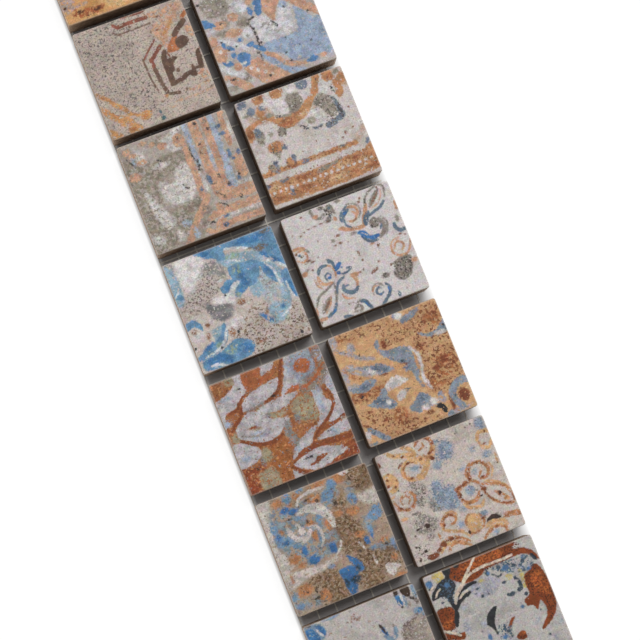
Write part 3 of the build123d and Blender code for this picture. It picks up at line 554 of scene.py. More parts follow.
prints["volutes"] = dict(ground=("c6bfbd", "bab2b0", "cdc8c7"), speck=0.3, inks=[
    ink("857d75", 0.12, [area((17.3, 18.6), (18.2, 16.2), (17, 16.4), (19.4, 15.2), (21, 15.3), (21.9, 15.8),
            (21.3, 18.2), (20.2, 19.5), (18.6, 19.8)), dots((15.6, 17.7, 0.9, 0.55), (9.7, 1.5, 0.6, 1.0),
            (8.4, 0.6, 0.7, 0.45), (8.3, 7.6, 0.5, 0.35), (12, 0.4, 0.7, 0.4), (9.1, 3.2, 0.6, 0.5),
            (22, 7.8, 0.4, 0.8), (17.4, 7, 1.0, 1.1), (12.7, 7.6, 0.7, 0.35), (10.6, 2.2, 0.4, 0.5),
            (8.6, 2, 0.5, 0.3)), line([(6.4, 0), (6.3, 1.2), (7, 2.3), (8.2, 2.5)], 0.28),
        line([(18.4, 6.6), (19, 8), (18.7, 9.2), (17.5, 10.1)], 0.42),
        line([(19, 6.4), (19.8, 7.5), (19.6, 8.7), (18.9, 10)], 0.16),
        line([(16.9, 4.4), (17, 2.8), (17.9, 1.3), (19.6, 0.4), (20.9, 0.1), (21.7, 1), (21.3, 2.8)], 0.2),
        line([(5.5, 15.3), (3.4, 16.3), (1.5, 17.2), (0.5, 18.8)], 0.22),
        line([(5.5, 15.6), (5.1, 17.6), (4.4, 19.4)], 0.22), leaf([(17.6, 3.9), (19, 2.4), (20.7, 0.9)], 0.55),
        leaf([(1.2, 20.4), (2.6, 18.9), (3.8, 17.8)], 0.6),
        line([(7.2, 22.3), (8.5, 22.5), (8.9, 21.8), (8.2, 21.4), (7.4, 21.8)], 0.24),
        line([(12, 20.4), (12.1, 19.3), (12.8, 18.7), (13.8, 18.8), (14.4, 19.6)], 0.16),
        line([(2.2, 7.1), (3, 7.9)], 0.28), line([(0.8, 11.6), (1.7, 11.2)], 0.2),
        line([(10.3, 0.6), (10.6, 1.6)], 0.3), line([(9, 22), (8.2, 20.9), (9.2, 20.4)], 0.16),
        line([(14.9, 5), (15.6, 4), (15.6, 2.8), (14.6, 1.9), (13.4, 1.7)], 0.13)], 0.45, 0.18, 0.45),
    ink("b88d71", 0.1, [line([(13.2, 2.3), (14.5, 2.5), (15.1, 3.3), (15, 4.3)], 0.26),
        line([(14, 3.4), (14.6, 4), (14.4, 4.8), (13.5, 5.3), (12.6, 5)], 0.22),
        line([(10.4, 5.8), (11.8, 6.4), (13.4, 6.8), (15.1, 6.9), (15.8, 5.6), (16.7, 3.6)], 0.34),
        dots((6.9, 1.9, 0.6, 0.4), (0.6, 11.9, 0.7, 0.5), (22.2, 16.8, 0.8, 0.5), (10.4, 3.5, 0.4, 0.5),
            (15.6, 10.8, 0.5, 0.3), (10.9, 5.9, 0.6, 0.4)), line([(0.1, 6.7), (1.4, 6.6), (2.4, 7)], 0.3),
        line([(0.3, 8.9), (1.3, 9.5), (2.4, 9), (2.3, 7.9), (1.4, 7.2), (0.4, 7.5)], 0.18),
        line([(5, 11.7), (6, 12.1), (6.5, 13.3), (6.2, 14.7)], 0.18),
        line([(2.9, 13.2), (2.9, 14.4), (3.9, 15.2), (5.2, 15.3)], 0.3),
        line([(2.1, 13.6), (2.2, 14.9), (2.9, 15.8)], 0.14),
        area((8.8, 15), (11.1, 15.1), (10.3, 16), (10, 17.6), (9.3, 18.1), (9.5, 16.6)),
        line([(6.1, 18), (6.6, 19.1), (8.2, 19.7)], 0.18), line([(0.3, 18.9), (0.1, 20.6)], 0.16),
        line([(-0.2, 21.4), (1.6, 21.5)], 0.28), line([(20.9, 1), (20.6, 2.4), (19.4, 3.7), (17.7, 4.2)], 0.1),
        line([(3.9, 17.6), (3.4, 18.9), (1.8, 20.6)], 0.1),
        line([(19.3, 13.4), (19.6, 12.6), (20.4, 12.2), (21.1, 12.7), (21.2, 13.5), (20.6, 14.1)], 0.2),
        line([(18.8, 12.4), (18.7, 14), (19.8, 15), (21.4, 15), (22.4, 13.8), (22.9, 12.6)], 0.2),
        line([(18.9, 12.2), (19.8, 11.6), (21, 11.6)], 0.15), line([(22.8, 4.4), (22.7, 6)], 0.3),
        line([(16.5, 4.8), (17.2, 3)], 0.25), line([(12, 19.8), (12.6, 19), (13.6, 19.2)], 0.12)], 0.5, 0.16, 0.45),
    ink("7f5f50", 0.15, [dots((2.6, 4.5, 0.4, 0.25), (9.5, 6.9, 0.6, 0.26), (9.6, 8.5, 0.5, 0.3), (5.5, 6.6, 0.24),
            (12.2, 11.6, 0.25, 0.7), (15.4, 14.6, 0.3), (11.1, 15.3, 0.34, 0.24), (16, 2.1, 0.24), (16.4, 1.4, 0.26),
            (16.5, 11.5, 0.3, 0.55), (17.4, 16.1, 0.3), (4.6, 3.7, 0.4, 0.14), (5.9, 3.6, 0.4, 0.14),
            (7.4, 3.5, 0.5, 0.13), (3.6, 4, 0.4, 0.14), (2.3, 9.6, 0.6, 0.28), (3, 10.1, 0.5, 0.2),
            (12.4, 13.2, 0.28), (21.4, 11, 0.4, 0.22), (8.8, 3.6, 0.5, 0.22), (0.2, 22, 0.3), (7.4, 20.4, 0.35, 0.15),
            (11.9, 15, 0.25), (4.1, 1, 0.22), (20.4, 0.6, 0.2), (1.2, 3.9, 0.2), (2.4, 11.6, 0.25),
            (8.5, 8.6, 0.4, 0.2), (0.5, 7.6, 0.3), (1.7, 10, 0.3, 0.15), (22.2, 11.4, 0.3, 0.16), (6.7, 20.4, 0.2),
            (10.9, 12.4, 0.18), (4.4, 9.6, 0.16), (18.6, 21.6, 0.18), (20.6, 21, 0.2, 0.14), (11, 8.8, 0.15)),
        line([(13.2, 16.3), (14, 16), (14.8, 15.6)], 0.24), line([(13.5, 5.4), (14.4, 5)], 0.16),
        leaf([(18, 3.6), (19.2, 2.4), (20.3, 1.3)], 0.24), leaf([(1.8, 20), (2.8, 18.9), (3.5, 18.2)], 0.24),
        line([(1.2, 8.4), (1.7, 8.3)], 0.15)], 0.4, 0.13, 0.45),
    ink("60707f", 0.08, [leaf([(11.3, 4.8), (12.1, 3.3), (13.7, 2.7)], 0.6),
        line([(12, 4.2), (11.9, 5.4), (12.7, 6.3)], 0.16), line([(12.4, 2.5), (13.4, 2)], 0.2),
        line([(20.8, 3.6), (19.6, 4.5), (18, 5), (16.8, 5.5)], 0.26),
        line([(17, 4.7), (16.2, 5.7), (15.7, 6.7)], 0.5),
        line([(3.1, 13), (3.5, 12.1), (4.4, 11.6), (5.2, 11.7)], 0.28),
        line([(5.8, 10.6), (6.5, 11.3), (6.7, 12.8)], 0.24),
        line([(7.3, 14.2), (8.5, 14.4), (9.7, 13.8), (8.8, 13.5)], 0.17),
        line([(5.3, 17.6), (5.7, 16.4), (6.5, 15.5), (7.8, 15)], 0.24),
        line([(7, 16.6), (6.8, 17.5), (7.6, 18.3), (8.7, 18.5), (9.6, 17.9)], 0.38),
        line([(4.4, 19.4), (3.6, 20.6), (2, 21.4)], 0.3), line([(9.1, 20.8), (9.9, 21), (10.7, 22.9)], 0.36),
        line([(4.9, 22.5), (6.5, 23)], 0.32), dots((16.8, 22.1, 0.34, 0.7), (1, 8, 0.3, 0.25)),
        line([(21, 8.6), (21.1, 9.6), (21.8, 10.3), (23, 10.2)], 0.36),
        line([(15, 19.2), (15.5, 20.2), (15, 21.3), (14, 22.2), (12.9, 23)], 0.28),
        line([(18.2, 8.6), (18.6, 7.8)], 0.2), line([(7.2, 16.9), (7.9, 16.8)], 0.16),
        line([(13.9, 19.9), (13.4, 19.4), (12.8, 19.8), (12.7, 20.5), (13.3, 20.9), (14, 20.6)], 0.2),
        line([(4.4, 14.6), (4.3, 13.6), (5, 13.2), (5.5, 13.8)], 0.16),
        line([(14.2, 9), (15.2, 10.2), (16.8, 10.5)], 0.3),
        dots((10, 1.2, 0.3, 0.4), (9.6, 2.6, 0.35, 0.25), (6, 11.2, 0.3, 0.45))], 0.5, 0.14, 0.45),
    ink("3f6a9b", 0.04, [line([(13.7, 7.9), (14.6, 8.2), (15.3, 9.2), (16.4, 9.8), (17.2, 9.6)], 0.45),
        line([(14.2, 8.4), (14.2, 9)], 0.25), leaf([(6.6, 13.4), (7.4, 12.6), (8.1, 12)], 0.5),
        dots((7.1, 13.9, 0.45, 0.35), (8, 13.1, 0.25), (13.3, 20.8, 0.4, 0.2), (12.7, 3.2, 0.5, 0.3),
            (5, 14.2, 0.4, 0.35)), line([(3.9, 20.4), (2.9, 21.1)], 0.14), line([(9.7, 21.1), (10.3, 22.2)], 0.14),
        line([(15.2, 20), (15.2, 20.9)], 0.14)], 0.6, 0.14, 0.45),
    ink("4f4944", 0.66, [area((17.4, 18.4), (18, 16.4), (19.4, 15.4), (21.6, 15.8), (21, 18.4), (18.6, 19.6)),
        dots((17.2, 7.3, 0.8, 0.7), (9.6, 1.8, 0.8, 1.3), (9, 3.4, 0.7, 0.4), (15.6, 17.7, 0.8, 0.4),
            (8.3, 0.5, 0.6, 0.4)), line([(17.3, 2), (16.9, 3.4)], 0.14)], 0.42, 0.2),
    ink("c9b8a8", 0.1, [line([(14.2, 8), (15.3, 8.9), (16.4, 9.2)], 0.05)], 0.5, 0.12, 0.3),
])

prints["petals"] = dict(ground=("c0966d", "ae8460", "cfa981"), speck=1.0, inks=[
    ink("a0653f", 0.45, [line([(-0.5, 12.6), (3, 13), (6, 13.2), (7.4, 12.2)], 0.9),
        dots((20, 13, 2.6, 2.6), (17, 15.6, 2.4, 1.4), (16.2, 7.8, 1.0, 0.8), (20.8, 3.6, 1.8, 1.6),
            (2.5, 1.4, 1.4, 0.7), (8, 19.4, 1.6, 2.0), (19, 21.6, 0.9, 1.4)),
        line([(1, 7), (2, 8.6), (3.4, 9.8)], 0.6)], 0.8, 0.7),
    ink("7b4c33", 0.74, [area((-0.5, 12), (7, 12.4), (6, 14.4), (-0.5, 14)),
        area((15, 2), (23.4, 1.6), (23.4, 17), (15.6, 17), (16, 9)),
        area((-0.5, 16), (8, 17.6), (10, 20), (15, 21.6), (14, 23.4), (5, 23), (0, 18.6)),
        area((7, 0), (14, 1), (15, 5), (11, 6), (9.6, 2.6), (4, 2), (2, 0))], 0.5, 0.8),
    ink("9d979b", 0.22, [dots((0.6, 1.1, 0.9, 1.5), (3.7, 3.4, 0.8, 1.0), (0.5, 8.4, 0.7, 1.6), (1, 11, 1.6, 0.8)),
        line([(0.2, 2.6), (2.6, 4.2), (4.6, 5.8), (7.2, 7)], 0.32), line([(1.6, 6.8), (3.4, 8.2), (5.4, 9.4)], 0.7),
        line([(3.6, 8), (6, 9.6)], 0.6), dots((14.4, 19.2, 1.8, 0.9), (17, 19, 0.7, 0.9), (19.2, 22.4, 2.2, 0.5))],
        0.6, 0.35),
    ink("7f8894", 0.1, [area((8.4, 4), (9.3, 3.9), (9, 5.4), (9.9, 6.3), (12, 6.5), (14.2, 7), (14.7, 8.6),
            (14.5, 10.4), (14.7, 12.4), (14.1, 14), (14.7, 15.9), (13.9, 15.2), (13.4, 13.6), (13.3, 12),
            (11.9, 11.3), (12.7, 10.2), (10.4, 8.6), (8.9, 6.9), (8.2, 5.5)),
        area((3.4, 7.4), (5.8, 8), (8, 8.2), (9.2, 9.3), (10.3, 10.3), (7.2, 10.4), (5.8, 9.4)),
        area((0.2, 11), (2.4, 11), (4, 10.3), (6.3, 11.1), (4.8, 12.1), (3, 12.5), (1.2, 11.9)),
        area((2.7, 15.1), (5, 14.4), (6.5, 13), (7.3, 13.5), (7.1, 15), (8.3, 16.6), (7.4, 17.6), (5.6, 16.9),
            (4, 16.1)), area((10, 18.6), (11.8, 17.5), (13, 16.5), (14.8, 17.5), (14.6, 18.6), (12.6, 19.2),
            (12.2, 20.2), (10.8, 19.7)),
        area((14.9, 1.5), (16.6, 1), (19.3, 0.5), (18.4, 1.6), (16.4, 2.4), (15, 2.6)),
        area((17, 5.3), (18.8, 6), (20.6, 6.1), (22.4, 5), (23.5, 4.4), (23.5, 6.8), (22.2, 6.9), (21, 6.5),
            (19, 6.9)),
        line([(23.4, 17.3), (21.2, 17.1), (19.5, 18.3), (19.2, 20.2), (20.4, 21.9)], 0.72, (0.9, 0.6)),
        line([(1, 19.6), (2.4, 20.9), (4.2, 22.9)], 0.5),
        dots((0.9, 22.6, 0.9, 0.4), (14.2, 0.6, 0.8, 0.7), (17.4, 22.6, 0.7, 0.7), (16.9, 18, 0.6, 0.4))], 0.5, 0.2),
    ink("5a6677", 0.35, [dots((6.6, 9, 1.0, 0.5), (8.6, 9.7, 0.9, 0.35), (5.2, 15.3, 1.3, 0.7), (7.2, 16.8, 0.6, 0.6),
            (3.6, 11.4, 1.2, 0.5), (12.6, 10.8, 0.7, 0.5), (13, 17.6, 1.2, 0.7), (1.8, 20.6, 0.5, 0.5),
            (12.3, 9.4, 0.5), (3.2, 22, 0.5), (22.6, 5.7, 0.5, 0.4), (11.4, 13, 0.5, 0.3), (11, 15, 0.6, 0.3))],
        0.5, 0.3),
    ink("c6bfbc", 0.06, [area((7.1, 12.9), (8.6, 11.8), (10.2, 11.6), (11.2, 12.4), (12, 13.2), (10.6, 13.6),
            (8.6, 13.9), (7.5, 13.9)), area((8.8, 15.4), (10.2, 14.6), (10.8, 15.4), (10, 16.3), (8.6, 16.4)),
        line([(14.6, 7.4), (15.6, 9.2), (15.5, 11.6), (15, 14), (15.7, 16.4)], 0.3),
        dots((14.7, 0.9, 0.8, 0.7), (21.4, 6.8, 0.9, 0.42), (15.1, 18.9, 0.8, 0.55), (0.5, 20.6, 0.6, 1.0),
            (6.8, 16, 0.5, 0.5), (13.2, 19.6, 0.7, 0.5)), leaf([(5, 8.2), (5.8, 9.2), (6.8, 10.1)], 0.42)],
        0.5, 0.25),
    ink("743f2a", 0.15, [dots((21.3, 19.9, 1.2, 1.3), (10, 5, 0.6, 0.85), (13.6, 20.8, 0.7, 0.4),
            (20.2, 11.9, 0.9, 0.7), (21.6, 2.8, 0.8, 0.4), (19.2, 3.8, 0.6, 0.35), (18.3, 13, 0.8, 0.6),
            (2, 12.9, 0.8, 0.4), (16.6, 8, 0.7, 0.5), (8.4, 20.9, 0.9, 0.4), (5, 18.6, 0.4, 0.6),
            (2.2, 16.4, 0.7, 0.25), (18.4, 20.6, 0.35, 1.2), (12.6, 10.1, 0.8, 0.25), (8, 10.6, 0.6, 0.25)),
        line([(0, 18.6), (1.2, 19)], 0.2)], 0.5, 0.25),
    ink("2e2d30", 0.1, [leaf([(15.2, 20.2), (16.4, 20.6), (16.7, 22.1)], 0.55),
        dots((12.3, 9.3, 0.3), (22.6, 5.6, 0.3), (10.8, 4.2, 0.25), (4.8, 5.3, 0.25), (19.6, 19.4, 0.25),
            (2, 13.2, 0.4, 0.25))]),
])

prints["almond"] = dict(ground=("beb2aa", "ada199", "c8bfb8"), speck=0.6, inks=[
    ink("8b97a7", 0.16, [area((12.4, 2.6), (13.6, 1.8), (14.8, 2.6), (15, 4.4), (13.8, 5.5), (12, 5.2), (12.2, 3.8)),
        area((8.4, 9.2), (9.8, 8.6), (10.6, 10.6), (12.2, 10.8), (12.6, 12.8), (11.8, 15), (9.6, 14.5), (8, 13.8),
            (7, 12.8), (8.2, 11)), dots((11, 6, 0.8, 0.8), (12.3, 1.7, 0.6, 0.4), (21.8, 1.4, 0.9, 1.4),
            (21, 7.5, 0.9, 0.6), (15.4, 8.4, 0.8, 0.4), (15.2, 12.9, 0.9, 1.0), (11, 18.3, 0.8, 0.6),
            (15.8, 18, 0.9, 0.5), (16.9, 22.2, 0.9, 0.5), (17.4, 9.8, 0.5, 0.7), (6.6, 5, 0.9, 0.7),
            (12.6, 15.6, 0.8, 0.5), (7.6, 3.4, 0.6, 0.4), (18.6, 5.6, 0.7, 0.5), (4.6, 10.6, 0.5, 0.8))], 0.6, 0.4),
    ink("6c7a8c", 0.72, [area((12, 1.4), (15, 2), (15, 5.6), (11, 6.6), (10.4, 5.4)),
        area((8, 9), (10.8, 9), (12.8, 11.4), (12.6, 15), (8, 14.4), (6.6, 12.4)),
        dots((21.8, 1.4, 1.0, 1.4), (21, 7.5, 0.9, 0.6), (15.6, 18, 1.1, 0.6), (15.2, 12.9, 1.0, 1.1))], 0.4, 0.4),
    ink("827b74", 0.4, [line([(5, 7), (5, 10)], 0.4), dots((7.2, 12.4, 0.7, 0.9), (8.2, 13.8, 1.2, 0.5),
            (6.6, 9, 0.9, 0.8), (4.6, 18.4, 0.8, 0.8), (5.4, 11.4, 1.0, 1.0), (16.8, 9, 0.5, 0.4),
            (18.2, 19.2, 0.9, 0.4)),
        area((2.4, 12.6), (4.6, 13.2), (6.2, 15), (7.4, 15.6), (5.8, 17.4), (3, 17.2), (2.4, 15.6), (3.8, 14.6)),
        line([(16.8, 0.4), (16.7, 1.8)], 0.25)], 0.45, 0.35),
    ink("625a53", 0.8, [area((4, 7), (6.6, 7.4), (7, 10.6), (5, 12.4), (4, 10)),
        area((2.4, 14.8), (4.2, 14), (6.4, 15.2), (7, 16), (5.4, 17), (3.4, 16.8)),
        dots((7.8, 13.4, 1.4, 1.0), (2, 20.6, 1.6, 1.6))], 0.36, 0.4, rest=0.0),
    flecks("8a7f78", 0.05, 0.4),
    ink("c1986d", 0.14, [line([(5, 1.6), (7, 2.6), (8.6, 3.9), (9.6, 4.2), (10.8, 3.4), (11.6, 2.4)], 0.6),
        line([(9.4, 4.6), (8.8, 5.6), (7.6, 6.8)], 0.6),
        dots((8.9, 4.3, 1.1, 0.8), (7.2, 6.9, 0.9, 0.7), (10.6, 3.6, 0.8, 0.7)),
        line([(2.2, 0), (3.6, 1.3), (5.6, 1.9)], 0.4), line([(5.6, 0.2), (6.9, 1), (7.8, 2.4)], 0.42),
        line([(7.4, 4), (6, 3.3), (4.6, 3.9), (4.2, 5.4), (5.2, 6.7), (6.8, 6.9)], 0.42),
        line([(0.1, 4.6), (1.4, 4.6), (2.1, 6), (1.6, 7.2), (0.4, 7.6)], 0.55),
        line([(7.4, 16.8), (7.5, 18), (9, 19), (10.6, 19.6), (11.8, 21)], 0.28),
        dots((13.5, 18.8, 1.7, 1.7), (1, 13.4, 0.7, 0.35), (21.4, 16.8, 0.6, 0.6), (1, 5.8, 0.9, 0.9)),
        line([(20.2, 4.3), (20.8, 3.2), (22, 3), (23.2, 3.6)], 0.4),
        line([(20.3, 4.8), (20.8, 6), (22, 6.3), (23, 5)], 0.32), line([(22.5, 8), (22.4, 9.8)], 0.22),
        line([(13, 15), (14, 16), (16, 16.5), (17, 15.6)], 0.3), line([(15.4, 20.6), (17.4, 20), (19.5, 20.9)], 0.4),
        line([(12.6, 20.4), (15, 20.2)], 0.34), line([(18.6, 12.3), (21, 13.4), (22.8, 15.4)], 0.25),
        line([(0.2, 8.8), (1, 8.6)], 0.2), line([(5.4, 22), (7, 20.9), (9.6, 21.4), (11.4, 22.8)], 0.3),
        line([(15, 22), (17, 20.9), (19.6, 21.6)], 0.25), line([(8.6, 15.3), (10.2, 15.4), (11, 16.4)], 0.2),
        line([(20.6, 9), (20.9, 10.6), (20, 12)], 0.2)], 0.5, 0.22, 0.55),
    ink("aa7550", 0.22, [line([(8.2, 1), (8.8, 0.2), (10.2, -0.2), (11.3, 0.6), (11.5, 2), (10.7, 3)], 0.34),
        line([(8.4, 1.3), (8.8, 1.9), (9.7, 1.6), (9.8, 0.9)], 0.2),
        line([(0.3, 9.4), (0.9, 11), (2.4, 11.9), (3.9, 11.5), (4.6, 10), (4, 8.9), (3, 8.6)], 0.28),
        line([(1.8, 10.7), (1.9, 9.5), (2.9, 9.2), (3.6, 10), (3, 10.8)], 0.2), line([(16.2, 9.6), (16.8, 8.5),
            (18, 8.3), (19.4, 8.7), (20.1, 10), (19.7, 11.2), (18.6, 11.6), (17.9, 11.1), (18.5, 10.2)], 0.3),
        line([(17, 8), (15.9, 9.5), (15.9, 10.8), (14.8, 11.3), (13.8, 11.6), (12.6, 11.8)], 0.46),
        line([(16.2, 11.2), (17.3, 12.3)], 0.3),
        line([(12.9, 12), (12.9, 13.6), (13.6, 14.8), (14.8, 15.1), (16, 14.8), (16.8, 13.8)], 0.33),
        line([(17.5, 12.6), (19.4, 13.1), (21.2, 14), (22.4, 15.4), (22.9, 17.3), (22, 18.1), (20.2, 17.4),
            (18.8, 16.2), (17.9, 14.6), (17.4, 12.9)], 0.26), leaf([(19.6, 14.7), (20.8, 16), (22.1, 17.3)], 0.45),
        line([(7.6, 17.8), (7.8, 16.4), (8.8, 15.8), (10, 16), (10.5, 16.7), (10, 17.5), (9.2, 17.6)], 0.3),
        line([(5.8, 20.5), (8, 20), (10, 20.8), (11.6, 22.2)], 0.34),
        line([(6.7, 22.7), (7.6, 21.6), (9, 21.3), (10.8, 22.4)], 0.24),
        dots((6.3, 18.9, 0.28, 0.7), (1, 11.4, 0.6, 0.4)),
        line([(14.4, 22.5), (16, 21.6), (17.6, 21.2), (19, 22), (19.1, 23.2)], 0.28),
        line([(19.5, 19.9), (21.4, 20), (23.4, 20.7)], 0.45), line([(11.9, 19.6), (12.4, 20.8), (14, 20.8)], 0.2),
        line([(15, 17.6), (15.6, 19), (15, 20.4)], 0.2), line([(12, 19), (12.4, 17.6), (13.4, 17)], 0.16),
        line([(9.2, 3.2), (10.4, 4.2)], 0.2), line([(4.5, 4.6), (4.4, 6), (5.4, 7)], 0.12)], 0.5, 0.18, 0.7),
    ink("7a452c", 0.45, [line([(8.4, 0.8), (9.4, 0), (10.8, 0.3), (11.5, 1.6)], 0.14),
        line([(0.6, 10.4), (2, 11.8), (3.8, 11.4)], 0.12),
        line([(15.9, 9.3), (15.9, 10.8), (14.4, 11.5), (12.7, 11.9), (12.9, 13.6), (13.8, 14.9)], 0.16),
        line([(17.4, 12.7), (18.4, 15.6), (20.4, 17.5), (22.4, 17.9)], 0.12), line([(18.2, 8.3), (19.7, 9)], 0.14),
        line([(7.7, 16.5), (9, 15.8), (10.3, 16.2)], 0.14), line([(5.4, 21.2), (7.2, 20.2), (9.8, 20.6)], 0.16),
        line([(4.4, 4.4), (5.6, 3.5), (7, 3.7)], 0.12)], 0.4, 0.14, 0.5),
    ink("74412a", 0.08, [dots((3.7, 22.1, 1.3, 0.6), (5.2, 21.4, 0.7, 0.4), (6.4, 20.7, 0.7, 0.5),
            (17.9, 13.6, 0.6, 0.45), (10.6, 4.3, 0.5, 0.42), (10.4, 3.2, 0.4, 0.3), (8.4, 3.7, 0.35, 0.3),
            (0.8, 5.2, 0.32), (0.5, 6.4, 0.35), (1.8, 6.9, 0.3), (0.2, 2, 0.35, 0.65), (2.4, 5.8, 0.2),
            (1.3, 4.2, 0.3, 0.2), (3.6, 1.2, 0.35, 0.2), (5.2, 2, 0.35, 0.2), (6.1, 0.1, 0.4, 0.2),
            (8.2, 20.3, 0.6, 0.3), (20.4, 15.4, 0.42, 0.42), (21.3, 5.4, 0.35, 0.2), (13, 13.2, 0.28, 0.5),
            (7.9, 17.4, 0.26, 0.4), (4.3, 9, 0.35, 0.2), (5.3, 6.5, 0.42, 0.22), (11.2, 3, 0.35, 0.25),
            (11.8, 1.6, 0.25, 0.35), (18.4, 11.3, 0.4, 0.22), (15.6, 18.7, 0.5, 0.24), (22.7, 17.2, 0.22, 0.65),
            (7.8, 5.2, 0.25), (6.9, 2.4, 0.3, 0.16), (12.6, 12.2, 0.25), (14.2, 15.2, 0.3, 0.2), (16.4, 9, 0.25),
            (19.9, 9.4, 0.22), (22.2, 3.2, 0.25), (1.2, 11.2, 0.3), (9.4, 21.2, 0.3, 0.2), (17.4, 21.3, 0.3, 0.2)),
        line([(3.7, 3.7), (4.6, 3)], 0.2), line([(5.4, 3.6), (5.9, 3.5)], 0.16)], 0.4, 0.15, 0.7),
    ink("3f302a", 0.05, [leaf([(15.9, 19.7), (17.3, 19.2), (19, 19.9)], 0.42),
        dots((20.5, 15.4, 0.28, 0.24), (16.9, 14.6, 0.25, 0.18), (19, 5.5, 0.26, 0.2), (2.6, 20.6, 0.42, 0.28),
            (1.2, 19.3, 0.3, 0.18), (1, 22, 0.24), (4.8, 16.2, 0.5, 0.5), (3, 16.2, 0.5, 0.25), (5.6, 17.4, 0.3, 0.2),
            (20.1, 0.8, 0.2), (12, 20.4, 0.24, 0.34), (2, 7.9, 0.18), (16.4, 13.3, 0.3, 0.16), (18.9, 1.2, 0.18),
            (1.8, 17.2, 0.2), (22.2, 9.8, 0.16), (14.4, 8.2, 0.14), (11.4, 7.8, 0.16))], 0.4, 0.12, 0.5),
])

